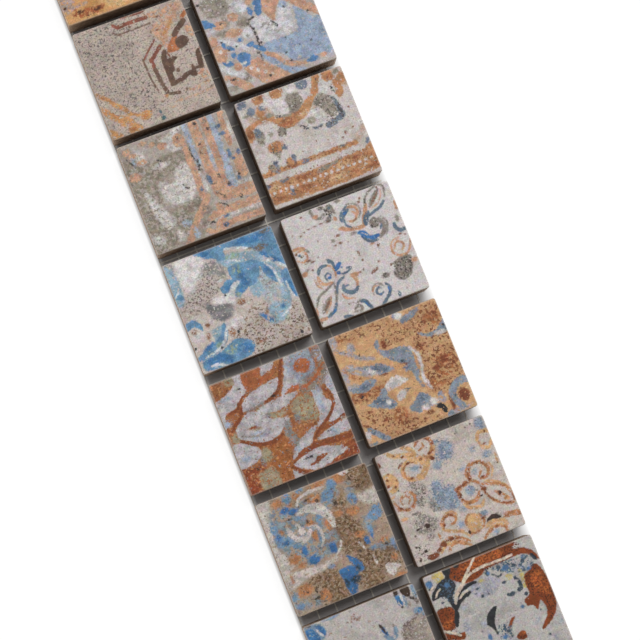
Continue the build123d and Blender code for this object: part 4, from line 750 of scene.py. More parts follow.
prints["rustLeaf"] = dict(ground=("afaaa6", "9d9995", "bab5b2"), speck=0.7, inks=[
    ink("9c9ca6", 0.3, [area((7.5, 5), (11, 4.4), (14, 5.4), (13, 7.4), (10, 8), (8.2, 6.8)),
        dots((5.5, 8.2, 0.7, 0.5), (12, 6.4, 1.0, 0.9), (18.1, 15.8, 0.7, 0.5), (4.6, 12, 0.7, 1.4),
            (20.2, 20.2, 0.4, 0.7), (18, 5, 1.3, 0.7), (8, 12.6, 0.5, 1.0), (12, 17.8, 0.8, 0.5),
            (19.9, 5.6, 0.9, 0.5), (22.4, 17.4, 0.4, 0.8), (6.8, 17.4, 1.0, 0.7))], 0.6, 0.4, 0.5),
    ink("b8a468", 0.25, [area((1.8, 0.3), (3.8, 0.1), (3.9, 1.8), (2.4, 2)),
        line([(18.3, 5.6), (18.4, 7), (18.1, 9)], 0.35),
        dots((15.8, 6, 0.8, 0.6), (6, 20.6, 0.8, 0.5), (10.6, 4.7, 0.6, 0.3))], 0.5, 0.25, 0.5),
    ink("80401f", 0.01, [area((5.6, 0), (12, -0.3), (19.4, 0.1), (18.4, 1.2), (20.6, 1.8), (22.4, 3.4), (22.8, 5.2),
            (21.8, 4.2), (20, 2.9), (16, 2.9), (12.4, 3), (10.6, 3.9), (8, 4.2), (6.2, 3.2), (5, 2.2)),
        area((0, 7.2), (2.8, 7), (3.7, 8.2), (3.2, 9.6), (2.4, 11.2), (0, 10.9)),
        area((0, 11.4), (2, 12.4), (3.9, 12.6), (3.4, 13.9), (1.4, 13.2), (0, 12.8)),
        area((18.9, 6.8), (20.4, 6.2), (21.4, 5.4), (22.4, 6.6), (22.9, 9), (23, 12.4), (22.5, 14.6), (21.4, 16.2),
            (20, 17.2), (18.2, 17.9), (18.6, 17), (20, 15.7), (20.5, 14), (20, 12.4), (19.4, 13.2), (18.8, 13.9),
            (18.2, 12.8), (17.2, 12.6), (17, 11.2), (18.4, 10.6), (18.4, 8.6)),
        line([(12.4, 15), (13.1, 14.1), (13.8, 13.6)], 0.26),
        area((12.9, 17.3), (13.8, 16.6), (14.9, 16.7), (14.7, 18.2), (13.4, 18)),
        area((2, 18), (6, 16.8), (9, 18.4), (7, 20.6), (3, 20.8))], 0.5, 0.15, 0.5),
    ink("4c2818", 0.7, [area((5.4, 0), (18.6, 0), (19, 2.4), (9, 3.8), (5.4, 3)), area((18.9, 7), (21.4, 5.6),
            (22.8, 9), (22.9, 13), (22.2, 15), (20.2, 17), (20.9, 14), (20.3, 12), (18.6, 10.6)),
        area((0, 7.2), (3.4, 7.2), (2.6, 11), (3.6, 13.6), (0, 12.8)), dots((14, 17.4, 0.9, 0.6))], 0.38, 0.2, 0.5),
    ink("a65a2c", 0.5, [area((8, 0.4), (16, 0.4), (16, 1.8), (9, 2)),
        area((19.6, 8), (22, 7), (22.6, 12), (20.6, 11)), area((0.4, 9.6), (2.6, 9.6), (1.8, 10.8), (0.3, 10.6)),
        line([(22.2, 8.4), (22.4, 9.8)], 0.25), dots((14.6, 17, 0.3), (7.2, 3, 0.4, 0.2))], 0.45, 0.2, 0.5),
    ink("2b2c2e", 0.01, [area((4.1, 0), (5.8, 0), (5.5, 1.2), (4.9, 2), (5.7, 3.2), (5.2, 4.4), (4.2, 5.6),
            (4.3, 7.4), (3.7, 8.6), (3.3, 6.8), (2.9, 5.1), (1.4, 4.8), (0.2, 4.9), (0.6, 3.6), (1.6, 2.8), (3, 1.9),
            (4.2, 1.6)), dots((6.9, 0.3, 0.6, 0.4), (0.8, 2.7, 0.6, 0.3), (6, 2.1, 0.3, 0.2)),
        line([(5.2, 6), (6, 5.2), (7.4, 4.7), (9.4, 4.5)], 0.3), line([(4, 8), (4.8, 7.1), (6, 6.4), (7.6, 6)], 0.42),
        line([(3.9, 8.2), (3.6, 9.2), (2.9, 10.9)], 0.42), area((11.6, 10.3), (10.2, 10.5), (9, 11.6), (8.4, 13),
            (9.2, 14), (9.5, 15.3), (9.9, 15.4), (9.9, 13.6), (10.5, 12)), line([(21.6, 3.6), (22.2, 4.8)], 0.3),
        area((0, 16), (3, 15.4), (5, 16), (3, 17), (0, 17.4))], 0.5, 0.14, 0.5),
    ink("3b4650", 0.1, [dots((2, 5.9, 0.35, 0.25), (9.3, 5.9, 0.42, 0.25), (9.7, 7.6, 0.35, 0.4), (11, 7.6, 0.2, 0.2),
            (8.7, 6.7, 0.2, 0.12), (12.1, 3.7, 0.4, 0.7), (13.5, 3.5, 0.25, 0.12), (14.6, 6.7, 0.5, 0.32),
            (17, 6.7, 0.35, 0.5), (18.9, 4.8, 0.25), (19.5, 4.2, 0.4, 0.5), (20.4, 3.8, 0.35, 0.2),
            (21.9, 4.4, 0.3, 0.35), (16.9, 9, 0.6, 0.42), (15.3, 9.3, 0.8, 0.42), (14.4, 9.1, 0.25),
            (17.8, 10.3, 0.38, 0.4), (17.3, 5, 0.3, 0.12), (19.2, 5.9, 0.45, 0.35), (18.1, 5.8, 0.25, 0.12),
            (11.4, 14.7, 0.35, 0.5), (11.9, 15.6, 0.5, 0.35), (12.2, 16.8, 0.3), (19.3, 14.2, 0.2),
            (19.3, 19.2, 0.35, 0.25), (7, 13.8, 0.25, 0.12), (13, 19.4, 0.3), (8.4, 21.6, 0.4, 0.25),
            (16.3, 19.9, 0.3, 0.2)), line([(14.5, 3.4), (14.9, 4.3)], 0.35),
        line([(13, 4.4), (14, 5.3), (14.8, 5)], 0.16), line([(17.3, 7.2), (17.5, 8.4), (17.3, 9.2)], 0.32),
        line([(17.4, 4), (17.9, 4.6)], 0.28)], 0.45, 0.14, 0.5),
    ink("45596a", 0.7, [area((2.6, 2), (5.4, 2.4), (5.4, 4.2), (4, 6.6), (2, 5)),
        area((13.4, 3.2), (21, 3.2), (21, 5.8), (16.4, 5.4)), area((10.4, 14), (12.8, 14.4), (12, 17), (10, 16.6))],
        0.4, 0.3, 0.5),
    ink("4c6d90", 0.08, [dots((15.9, 4.2, 0.85, 0.55), (0.7, 1.7, 0.8, 0.7), (20, 6, 0.6, 0.3),
            (16.2, 12.3, 0.42, 0.42), (8.1, 15.4, 0.4, 0.7), (11, 16.4, 0.6, 0.4), (19.9, 3.4, 0.4, 0.15),
            (4, 3.1, 0.5, 0.5), (12.3, 3.9, 0.4, 0.3), (16, 5.1, 0.2))], 0.5, 0.2, 0.5),
    ink("c9b9a8", 0.06, [line([(10.9, 0.1), (9.6, 1.3), (8.4, 2.4), (7, 3.6)], 0.17),
        line([(7.2, 3.8), (8.6, 2.9), (10.6, 2.4), (13, 2.3), (16, 2.4), (18, 2.3)], 0.2),
        line([(4.3, 7), (4.7, 6), (5.7, 4.9), (7, 4)], 0.28), line([(0.1, 3.8), (0.7, 2.9), (1.4, 2.4)], 0.13),
        line([(1.1, 4.5), (1.7, 3.7), (2.5, 3.3)], 0.13), line([(0, 10.9), (1.6, 11.9), (3, 13)], 0.15),
        line([(0.3, 16.6), (2.6, 16.2)], 0.15), line([(5.4, 6.4), (6.2, 5.8), (7.4, 5.5)], 0.15),
        line([(3, 18.6), (6, 18.4), (8, 19)], 0.16)], 0.5, 0.12, 0.5),
])

prints["blueLeaf"] = dict(ground=("b2aba7", "a39c98", "bdb5b1"), speck=0.75, inks=[
    ink("95897f", 0.2, [area((17.6, 8.6), (18.2, 7), (20, 6.6), (21.6, 5.8), (23.2, 6.6), (23.2, 12.4), (20.4, 12.4),
            (18.6, 10.8), (17.2, 9.4)), area((6, 12), (12, 11), (14, 15), (9, 18)), dots((20.8, 3.4, 0.5, 0.6))],
        0.45, 0.25, 0.5),
    ink("74889b", 0.18, [area((-0.2, -0.2), (3, 0.3), (4, 1.6), (3.8, 2.8), (2.8, 3.6), (1.2, 3.2), (-0.2, 2.8)),
        line([(4, 0), (5.8, 0.3), (7.6, 0)], 0.24), line([(14.2, 7.4), (15.2, 8.3), (16.3, 7.9), (16.6, 6.6)], 0.42),
        leaf([(6, 13), (9, 16), (14, 17.6)], 1.3), line([(2, 15), (4, 19), (9, 22)], 0.8),
        dots((22.7, 1.2, 0.6, 1.6), (22, 5.2, 1.0, 0.7), (20.2, 2.6, 0.4, 1.2), (22.8, 6, 0.4, 0.5)),
        leaf([(12, 20), (16, 18.4), (21, 19)], 1.2)], 0.5, 0.2, 0.5),
    ink("3d6a97", 0.14, [area((0, 1), (1.4, 0.7), (2.2, 2), (2.4, 3.4), (0.6, 3)),
        area((2.4, 0.5), (3.6, 1.2), (3.9, 2.5), (3.2, 3), (2.6, 1.6)),
        leaf([(18.9, 0.8), (19.3, 2.2), (19.4, 3.4)], 0.55), line([(14.2, 5.8), (14.7, 7.2)], 0.35),
        dots((22.4, 5.2, 0.6, 0.5), (9, 9, 0.6, 0.5), (3.4, 9.6, 0.7, 0.4), (6, 0.1, 0.6, 0.15)),
        leaf([(13, 19.9), (16, 18.8), (20, 19)], 0.6), leaf([(7, 14), (9.4, 16), (13, 17.2)], 0.5)], 0.5, 0.18, 0.5),
    ink("6d625b", 0.4, [line([(18, 9.6), (17.7, 8.2), (18.4, 7), (20, 6.7), (21.2, 6), (21.6, 5.8)], 0.35),
        dots((19.4, 7.6, 0.6, 0.7), (18.9, 8.8, 0.4, 0.5), (22.4, 3.4, 0.5, 0.6), (16.4, 6, 0.3, 0.4))],
        0.35, 0.2, 0.5),
    ink("8c6f63", 0.3, [dots((8.4, 2.3, 0.3, 0.22), (9.1, 2.4, 0.2), (10.9, 2.3, 0.25, 0.35), (9.6, 0.4, 0.2, 0.25),
            (10, 1.4, 0.2), (12.4, 3.6, 0.28, 0.22), (12.8, 4.8, 0.22, 0.25), (4.6, 3.1, 0.35, 0.28),
            (16.4, 2.7, 0.25, 0.2), (7, 4.7, 0.3, 0.15), (6.4, 2.4, 0.2, 0.12), (13.4, 0.3, 0.35, 0.12),
            (11.6, 1.2, 0.15), (5.6, 7, 0.3, 0.2), (17, 13, 0.3, 0.25), (2.8, 12.4, 0.3, 0.2), (11, 9.6, 0.25),
            (8.2, 20.6, 0.3, 0.2)), line([(9.4, 1.6), (10.6, 2.7)], 0.25)], 0.35, 0.15, 0.5),
    ink("3b2c24", 0.06, [area((20.1, -0.2), (21.6, 0), (22, 1), (21.4, 2.2), (20.5, 1.6), (20, 0.8)),
        dots((19.2, 0.5, 0.35, 0.5), (22, 2.7, 0.28, 0.35), (19.3, 3.5, 0.28, 0.35), (1.2, 0.2, 0.5, 0.15),
            (22.8, 2.2, 0.2, 0.15)), line([(13.9, 5), (14.3, 6)], 0.2), line([(21.2, 2), (21.8, 2.7)], 0.2),
        line([(14.3, 6), (14.6, 7)], 0.12), line([(18.9, 0), (18.8, 1)], 0.14)], 0.45, 0.14, 0.5),
    ink("c4c3c4", 0.05, [line([(2.3, 1.4), (2.7, 2.2), (3.3, 3)], 0.16),
        line([(19.9, 1), (19.8, 2), (20.1, 3)], 0.14), line([(6.6, 13.6), (9.4, 16), (13, 17.2)], 0.2),
        line([(13, 20.2), (16, 19), (20, 19.3)], 0.16)], 0.5, 0.12, 0.5),
])

prints["ochre"] = dict(ground=("c59663", "b38451", "d0a574"), speck=0.8, inks=[
    ink("a99289", 0.3, [dots((1.2, 18.6, 1.6, 1.7), (14, 8, 2.6, 1.8), (19.4, 3.6, 1.8, 1.2)),
        leaf([(6, 4), (10, 6), (15, 3)], 1.2), line([(0.4, 20.6), (2.4, 19.9), (5, 19.6)], 0.3)], 0.5, 0.3),
    ink("9b5a39", 0.4, [area((1.5, 21), (2.6, 20.2), (3.6, 20.9), (5, 20.4), (6.2, 21), (8, 20.8), (8.2, 21.6),
            (6.6, 22.4), (5.2, 21.9), (4, 22.4), (2.4, 22.1)), curl(16, 15, 3.2, 1.2, 30, 0.6, 0.4),
        line([(2, 3), (6, 8), (5, 13)], 0.5), leaf([(9, 18), (12, 13), (18, 10)], 0.9)], 0.5, 0.2),
    ink("d6b184", 0.35, [area((9, 20), (14, 19), (15, 21.6), (10, 22.4)), line([(8, 9), (11, 11), (10, 15)], 0.5),
        dots((20, 18, 1.2, 1.6), (3, 10, 0.9, 1.4))], 0.5, 0.3),
    ink("c6beb6", 0.15, [line([(3, 2), (7, 7.6), (6.4, 13)], 0.2), line([(10, 17.4), (13, 13.6), (17, 11.4)], 0.16),
        dots((16, 15, 0.8), (20, 5, 1.0, 0.7))], 0.45, 0.15),
    ink("5f3a2a", 0.14, [dots((11, 10, 0.5, 0.3), (19, 19.6, 0.4), (4, 16, 0.4, 0.25), (21, 11, 0.4, 0.3),
            (3.4, 21, 0.6, 0.3), (6.6, 21.6, 0.8, 0.3), (5, 22.2, 0.5, 0.2), (0.6, 19.4, 0.3), (13.6, 20.2, 0.25),
            (8.8, 3.4, 0.4, 0.25))], 0.4, 0.14),
])


# Chips
# sizes in mm; the arris rounds the printed face, the foot arris the back
chip = {"cells": 92, "cornerRadius": 0.38, "arris": 0.3, "footArris": 0.12, "arcSteps": 3, "sharpAngle": 50,
        "keyLength": 17.0, "keyWidth": 2.6, "keyDepth": 0.4, "keyPitch": 7.0, "keyCount": 3,
        "fieldReach": 1.6, "backInset": -9.0}  # the furthest a print's distance counts; no print on the back


def roundedGrid(half, radius, cells):  # a square grid whose four corners are drawn in to an arc
    steps = np.linspace(-half, half, cells + 1)
    X, Y = np.meshgrid(steps, steps)
    dx, dy = np.abs(X) - (half - radius), np.abs(Y) - (half - radius)
    corner = (dx > 0) & (dy > 0)
    pull = np.where(corner, np.maximum(dx, dy) / np.maximum(np.hypot(dx, dy), 1e-9), 1.0)
    X = np.where(corner, np.sign(X) * (half - radius + dx * pull), X)
    Y = np.where(corner, np.sign(Y) * (half - radius + dy * pull), Y)
    return X, Y


def chipMesh(node, motifsByInk):  # one chip, in the place of its node, with its print as distances
    low, high = (np.array(corner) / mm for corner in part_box(node))
    side = high[0] - low[0]
    centre = (low + high) / 2
    n = chip["cells"]
    half = side / 2 - chip["arris"]
    turn = chip["cornerRadius"] - chip["arris"]

    # the printed face, and the way out of it at each point of its border
    X, Y = roundedGrid(half, turn, n)
    index = np.arange((n + 1) ** 2).reshape(n + 1, n + 1)
    corners = [index[:-1, :-1], index[:-1, 1:], index[1:, 1:], index[1:, :-1]]
    quads = np.stack(corners, -1).reshape(-1, 4).tolist()
    border = np.concatenate([index[0, :-1], index[:-1, -1], index[-1, :0:-1], index[:0:-1, 0]])
    bx, by = X.ravel()[border], Y.ravel()[border]
    inner = half - turn - 1e-6
    out = np.stack([np.sign(b) * np.maximum(np.abs(b) - inner, 0) for b in (bx, by)], 1)
    out[np.abs(bx) <= inner, 0] = 0
    out[np.abs(by) <= inner, 1] = 0
    out /= np.hypot(*out.T)[:, None]

    # the arris, the wall and the foot arris are rings that follow the border
    arris, foot, arcSteps = chip["arris"], chip["footArris"], chip["arcSteps"]
    arc = [math.pi / 2 * (k + 1) / arcSteps for k in range(arcSteps)]
    profile = [(arris * math.sin(a), high[2] - arris * (1 - math.cos(a))) for a in arc]
    profile += [(arris, low[2] + foot), (arris - foot, low[2])]
    x, y, z = [X.ravel()], [Y.ravel()], [np.full(X.size, high[2])]
    inset = [half - np.maximum(np.abs(X), np.abs(Y)).ravel() + arris]  # how far inside the chip's edge, in mm
    above = border
    for k, (offset, height) in enumerate(profile):
        x.append(bx + out[:, 0] * offset)
        y.append(by + out[:, 1] * offset)
        z.append(np.full(len(border), height))
        inset.append(np.full(len(border), (arris - offset) if k < arcSteps else height - high[2]))
        ring = X.size + k * len(border) + np.arange(len(border))
        quads += np.stack([above, ring, np.roll(ring, -1), np.roll(above, -1)], -1).tolist()
        above = ring
    x, y, z, inset = map(np.concatenate, (x, y, z, inset))
    mesh = bpy.data.meshes.new(node)
    points = np.stack([x + centre[0], y + centre[1], z], 1) * mm
    mesh.from_pydata(points.tolist(), [], quads)

    # the back: the foot ring is filled round the key hollows, whose walls and floors follow
    shape = bmesh.new()
    shape.from_mesh(mesh)
    shape.verts.ensure_lookup_table()
    loop = [shape.verts[i] for i in above]
    edges = [shape.edges.get((a, b)) for a, b in zip(loop, loop[1:] + loop[:1])]
    kl, kw = chip["keyLength"] / 2, chip["keyWidth"] / 2
    for k in range(chip["keyCount"]):
        ky = (k - (chip["keyCount"] - 1) / 2) * chip["keyPitch"]
        around = [(-kl, ky - kw), (kl, ky - kw), (kl, ky + kw), (-kl, ky + kw)]
        lip, deep = [[shape.verts.new(((px + centre[0]) * mm, (py + centre[1]) * mm, pz * mm)) for px, py in around]
                     for pz in (low[2], low[2] + chip["keyDepth"])]
        for i in range(4):
            j = (i + 1) % 4
            shape.faces.new((lip[i], lip[j], deep[j], deep[i]))
            edges.append(shape.edges.get((lip[i], lip[j])))
        shape.faces.new(deep[::-1])
    bmesh.ops.triangle_fill(shape, use_beauty=True, use_dissolve=False, edges=edges)
    bmesh.ops.recalc_face_normals(shape, faces=shape.faces)
    shape.to_mesh(mesh)
    shape.free()
    mesh.polygons.foreach_set("use_smooth", [True] * len(mesh.polygons))
    mesh.set_sharp_from_angle(angle=math.radians(chip["sharpAngle"]))

    # each ink's distance, and the inset, as values on the points; those that the hollows added have none
    added = len(mesh.vertices) - len(x)
    u, v = x + side / 2, side / 2 - y
    reach = chip["fieldReach"]
    fields = {}
    for k, motifs in enumerate(motifsByInk):
        distance = np.minimum.reduce([motif(u, v) for motif in motifs])
        fields[f"ink{k + 1}"] = (np.clip(distance, -reach, reach), reach)
    fields["inset"] = (inset, chip["backInset"])
    for name, (values, bare) in fields.items():
        layer = mesh.attributes.new(name, "FLOAT", "POINT")
        layer.data.foreach_set("value", np.concatenate([values, np.full(added, bare)]))
    return mesh


# Printed ceramic
finish = {"roughness": 0.72, "specular": 0.25, "bump": 0.012,               # bump in mm
          "body": "7a6452", "bodyLight": "8e7762",                          # the bare clay of the walls
          "arrisPale": "c9bfb6", "arrisWorn": 0.3, "arrisUneven": 0.25,     # the chafed edge
          "rubbed": (0.3, 0.16), "bare": (0.1, -0.05),                      # from and to, in mm from the edge
          "ragged": 0.28, "wornEdge": 0.04,                                 # an ink's edge and its worn spots'
          "inkShades": (0.74, 1.22),                                        # how dark and how bright an ink clouds
          "grain": 0.22, "grainReach": (0.25, 0.75), "motley": 0.42, "motleySize": 0.9,
          "speck": "4a403b", "speckShare": 0.6}
# the noises of a chip: size in mm, detail, roughness, and how far along in the noise each is taken
noises = {"broad": (5.0, 3.0, 0.55, 0), "patchy": (1.3, 3.0, 0.6, 31), "wobble": (0.6, 3.0, 0.65, 77),
          "cloud": (2.2, 5.0, 0.75, 57), "grain": (0.28, 1.0, 0.5, 5), "speck": (0.5, 1.0, 0.5, 91),
          "relief": (0.35, 3.0, 0.6, 5)}
# what is shared out by a noise: which one, where the share starts and where it is full
shares = {"plain": ("broad", 0.36, 0.52), "pale": ("patchy", 0.5, 0.7), "bright": ("cloud", 0.36, 0.64),
          "speck": ("speck", 0.66, 0.72), "bodyLight": ("patchy", 0.4, 0.65)}
spread = statistics.NormalDist(0.5, 0.105)  # how the values of a noise texture lie
smooth = {"interpolation_type": "SMOOTHSTEP"}
blend = {"data_type": "RGBA"}
multiply = {"data_type": "RGBA", "blend_type": "MULTIPLY"}


def printedCeramic(name, spec):
    # Pressed stoneware, printed and fired under a matt glaze, then worn. The eye sees clouded inks with
    # ragged edges on a pale grained ground, pale chafed arrises and bare brown walls, with hardly any shine.
    material = bpy.data.materials.new(name)
    material.use_nodes = True
    tree = material.node_tree
    tree.nodes.clear()
    here = addNode(tree, "ShaderNodeTexCoord", output="Object")
    place = addNode(tree, "ShaderNodeVectorMath", {0: here, 1: [1 / mm] * 3}, 0, operation="MULTIPLY")  # in mm
    wanted = dict(noises)
    for k, layer in enumerate(spec["inks"]):  # the worn spots of each ink
        wanted[f"crumb{k}"] = (layer["crumb"], 2.0, 0.6, 13 * k + 7)
    noise = {}
    for key, (size, detail, rough, shift) in wanted.items():
        at = addNode(tree, "ShaderNodeVectorMath", {0: place, 1: (shift, shift * 0.7, shift * 1.3)}, 0,
                     operation="ADD")
        noise[key] = addNode(tree, "ShaderNodeTexNoise",
                             {"Vector": at, "Scale": 1 / size, "Detail": detail, "Roughness": rough}, "Fac")
    share = {}
    for key, (which, start, end) in shares.items():
        share[key] = addNode(tree, "ShaderNodeMapRange", {"Value": noise[which], "From Min": start, "From Max": end},
                             "Result", **smooth)

    # the ground, and the inks over it one by one
    plain, dull, pale = (linear(colour) for colour in spec["ground"])
    colour = addNode(tree, "ShaderNodeMix", {0: share["plain"], 6: dull, 7: plain}, 2, **blend)
    colour = addNode(tree, "ShaderNodeMix", {0: share["pale"], 6: colour, 7: pale}, 2, **blend)
    wobble = addNode(tree, "ShaderNodeMath", {0: noise["wobble"], 1: 0.5}, 0, operation="SUBTRACT")
    wobble = addNode(tree, "ShaderNodeMath", {0: wobble, 1: 4 * finish["ragged"]}, 0, operation="MULTIPLY")
    for k, layer in enumerate(spec["inks"]):
        distance = addNode(tree, "ShaderNodeAttribute", output="Fac", attribute_name=f"ink{k + 1}")
        edge = addNode(tree, "ShaderNodeMath", {0: wobble, 1: layer["ragged"], 2: distance}, 0,
                       operation="MULTIPLY_ADD")
        cover = addNode(tree, "ShaderNodeMapRange",
                        {"Value": edge, "From Min": layer["soft"], "From Max": -layer["soft"]}, "Result", **smooth)
        limit = spread.inv_cdf(layer["worn"])
        kept = addNode(tree, "ShaderNodeMapRange",
                       {"Value": noise[f"crumb{k}"], "From Min": limit - finish["wornEdge"],
                        "From Max": limit + finish["wornEdge"], "To Min": layer["rest"]}, "Result", **smooth)
        printed = addNode(tree, "ShaderNodeMath", {0: cover, 1: kept}, 0, operation="MULTIPLY")
        dark, bright = ([min(1, c * level) for c in linear(layer["colour"])[:3]] + [1]
                        for level in finish["inkShades"])
        ink = addNode(tree, "ShaderNodeMix", {0: share["bright"], 6: dark, 7: bright}, 2, **blend)
        colour = addNode(tree, "ShaderNodeMix", {0: printed, 6: colour, 7: ink}, 2, **blend)

    # grain, stray tints and dark specks
    low, high = finish["grainReach"]
    grain = addNode(tree, "ShaderNodeMapRange",
                    {"Value": noise["grain"], "From Min": low, "From Max": high,
                     "To Min": 1 - finish["grain"], "To Max": 1 + finish["grain"]}, "Result")
    grey = addNode(tree, "ShaderNodeCombineColor", {0: grain, 1: grain, 2: grain}, 0)
    colour = addNode(tree, "ShaderNodeMix", {0: 1.0, 6: colour, 7: grey}, 2, **multiply)
    motley = addNode(tree, "ShaderNodeTexNoise",
                     {"Vector": place, "Scale": 1 / finish["motleySize"], "Detail": 2.0}, "Color")
    lean = addNode(tree, "ShaderNodeVectorMath",
                   {0: motley, 1: [finish["motley"]] * 3, 2: [1 - finish["motley"] / 2] * 3}, 0,
                   operation="MULTIPLY_ADD")
    colour = addNode(tree, "ShaderNodeMix", {0: 1.0, 6: colour, 7: lean}, 2, **multiply)
    speck = addNode(tree, "ShaderNodeMath", {0: share["speck"], 1: finish["speckShare"] * spec["speck"]}, 0,
                    operation="MULTIPLY")
    colour = addNode(tree, "ShaderNodeMix", {0: speck, 6: colour, 7: linear(finish["speck"])}, 2, **blend)

    # the chafed arris, then the bare clay of walls and back
    inset = addNode(tree, "ShaderNodeAttribute", output="Fac", attribute_name="inset")
    uneven = addNode(tree, "ShaderNodeMath", {0: noise["patchy"], 1: 0.5}, 0, operation="SUBTRACT")
    uneven = addNode(tree, "ShaderNodeMath", {0: uneven, 1: finish["arrisUneven"]}, 0, operation="MULTIPLY")
    uneven = addNode(tree, "ShaderNodeMath", {0: inset, 1: uneven}, 0, operation="ADD")
    start, end = finish["rubbed"]
    chafed = addNode(tree, "ShaderNodeMapRange", {"Value": uneven, "From Min": start, "From Max": end}, "Result",
                     **smooth)
    chafed = addNode(tree, "ShaderNodeMath", {0: chafed, 1: finish["arrisWorn"]}, 0, operation="MULTIPLY")
    colour = addNode(tree, "ShaderNodeMix", {0: chafed, 6: colour, 7: linear(finish["arrisPale"])}, 2, **blend)
    clay = addNode(tree, "ShaderNodeMix",
                   {0: share["bodyLight"], 6: linear(finish["body"]), 7: linear(finish["bodyLight"])}, 2, **blend)
    start, end = finish["bare"]
    bare = addNode(tree, "ShaderNodeMapRange", {"Value": inset, "From Min": start, "From Max": end}, "Result",
                   **smooth)
    colour = addNode(tree, "ShaderNodeMix", {0: bare, 6: colour, 7: clay}, 2, **blend)
    bump = addNode(tree, "ShaderNodeBump",
                   {"Height": noise["relief"], "Strength": 1.0, "Distance": finish["bump"] * mm}, 0)
    skin = addNode(tree, "ShaderNodeBsdfPrincipled",
                   {"Base Color": colour, "Roughness": finish["roughness"],
                    "Specular IOR Level": finish["specular"], "Normal": bump}, 0)
    addNode(tree, "ShaderNodeOutputMaterial", {"Surface": skin})
    return material


materials = {name: printedCeramic(f"glazed_stoneware_{name}", spec) for name, spec in prints.items()}
# the chips from the far end to the near end: print, quarter turns
layout = {
    "left": [("volutes", 1), ("petals", 2), ("ochre", 0), ("octagon", 0), ("stripes", 0), ("blueClouds", 0),
             ("leaves", 0), ("curl", 0), ("blueLeaf", 0), ("almond", 2), ("cloudField", 1), ("trefoil", 2)],
    "right": [("leaves", 2), ("curl", 1), ("rustLeaf", 3), ("cloudField", 0), ("trefoil", 0), ("volutes", 0),
              ("petals", 0), ("almond", 0), ("rustLeaf", 0), ("octagon", 2), ("blueClouds", 3), ("ochre", 1)],
}
for column, rows in layout.items():
    for row, (name, quarters) in enumerate(rows):
        node = f"chip_{column}_{row + 1:02d}"
        inks = [turned(layer["motifs"], 90 * quarters) if quarters else layer["motifs"]
                for layer in prints[name]["inks"]]
        mesh = chipMesh(node, inks)
        mesh.materials.append(materials[name])
        piece = bpy.data.objects.new(f"printed_{node}", mesh)
        scene.collection.objects.link(piece)
        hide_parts(node)
        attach(piece, "root")
print("chips made")


# Net: two layers of flat threads, each laid by Geometry Nodes from one strip
# sizes in mm; the threads wander by a noise that changes every drift mm
net = {"width": 0.3, "thickness": 0.12, "longPitch": 3.8, "crossPitch": 5.25, "longCount": 13, "crossCount": 57,
       "shift": -1.0, "farThread": 146.2, "length": 297.9, "span": 47.7, "steps": 60,
       "longWave": 0.3, "crossWave": 0.25, "drift": 100 / 9,
       "dark": "aea89e", "bright": "d2cdc3", "mottle": 0.4, "roughness": 0.5}


def threadTree(material):  # a row of parallel threads: along or across the strip
    tree = bpy.data.node_groups.new("net_threads", "GeometryNodeTree")
    face = tree.interface
    face.new_socket("Geometry", in_out="OUTPUT", socket_type="NodeSocketGeometry")
    for name, kind in (("Count", "NodeSocketInt"), ("Pitch", "NodeSocketVector"), ("Start", "NodeSocketVector"),
                       ("Thread Size", "NodeSocketVector"), ("Wave", "NodeSocketFloat")):
        face.new_socket(name, in_out="INPUT", socket_type=kind)
    given = addNode(tree, "NodeGroupInput").outputs
    spots = addNode(tree, "GeometryNodeMeshLine", {"Count": given["Count"], "Start Location": given["Start"],
                                                   "Offset": given["Pitch"]}, 0, mode="OFFSET")
    strip = addNode(tree, "GeometryNodeMeshCube", {"Size": given["Thread Size"], "Vertices X": 2,
                                                   "Vertices Y": net["steps"], "Vertices Z": 2}, 0)
    laid = addNode(tree, "GeometryNodeInstanceOnPoints", {"Points": spots, "Instance": strip}, 0)
    real = addNode(tree, "GeometryNodeRealizeInstances", {"Geometry": laid}, 0)
    spot = addNode(tree, "GeometryNodeInputPosition", output=0)
    drift = addNode(tree, "ShaderNodeTexNoise",
                    {"Vector": spot, "Scale": 1 / (net["drift"] * mm), "Detail": 1.0}, "Color")
    centred = addNode(tree, "ShaderNodeVectorMath", {0: drift, 1: (0.5, 0.5, 0.5)}, 0, operation="SUBTRACT")
    sideways = addNode(tree, "ShaderNodeVectorMath", {0: centred, 1: (1, 0, 0)}, 0, operation="MULTIPLY")
    moved = addNode(tree, "ShaderNodeVectorMath", {0: sideways, "Scale": given["Wave"]}, 0, operation="SCALE")
    waved = addNode(tree, "GeometryNodeSetPosition", {"Geometry": real, "Offset": moved}, 0)
    painted = addNode(tree, "GeometryNodeSetMaterial", {"Geometry": waved, "Material": material}, 0)
    addNode(tree, "NodeGroupOutput", {"Geometry": painted})
    return tree


def glassThread():
    # Glass-fibre yarn, sized with resin and laid flat. The eye sees an off-white, dull thread whose
    # tone changes a little along it, where its filaments bunch and part.
    material = bpy.data.materials.new("glass_fibre_thread")
    material.use_nodes = True
    tree = material.node_tree
    skin = tree.nodes["Principled BSDF"]
    skin.inputs["Roughness"].default_value = net["roughness"]
    here = addNode(tree, "ShaderNodeTexCoord", output="Object")
    grain = addNode(tree, "ShaderNodeTexNoise", {"Vector": here, "Scale": 1 / (net["mottle"] * mm)}, "Fac")
    tone = addNode(tree, "ShaderNodeMix", {0: grain, 6: linear(net["dark"]), 7: linear(net["bright"])}, 2, **blend)
    tree.links.new(tone, skin.inputs["Base Color"])
    return material


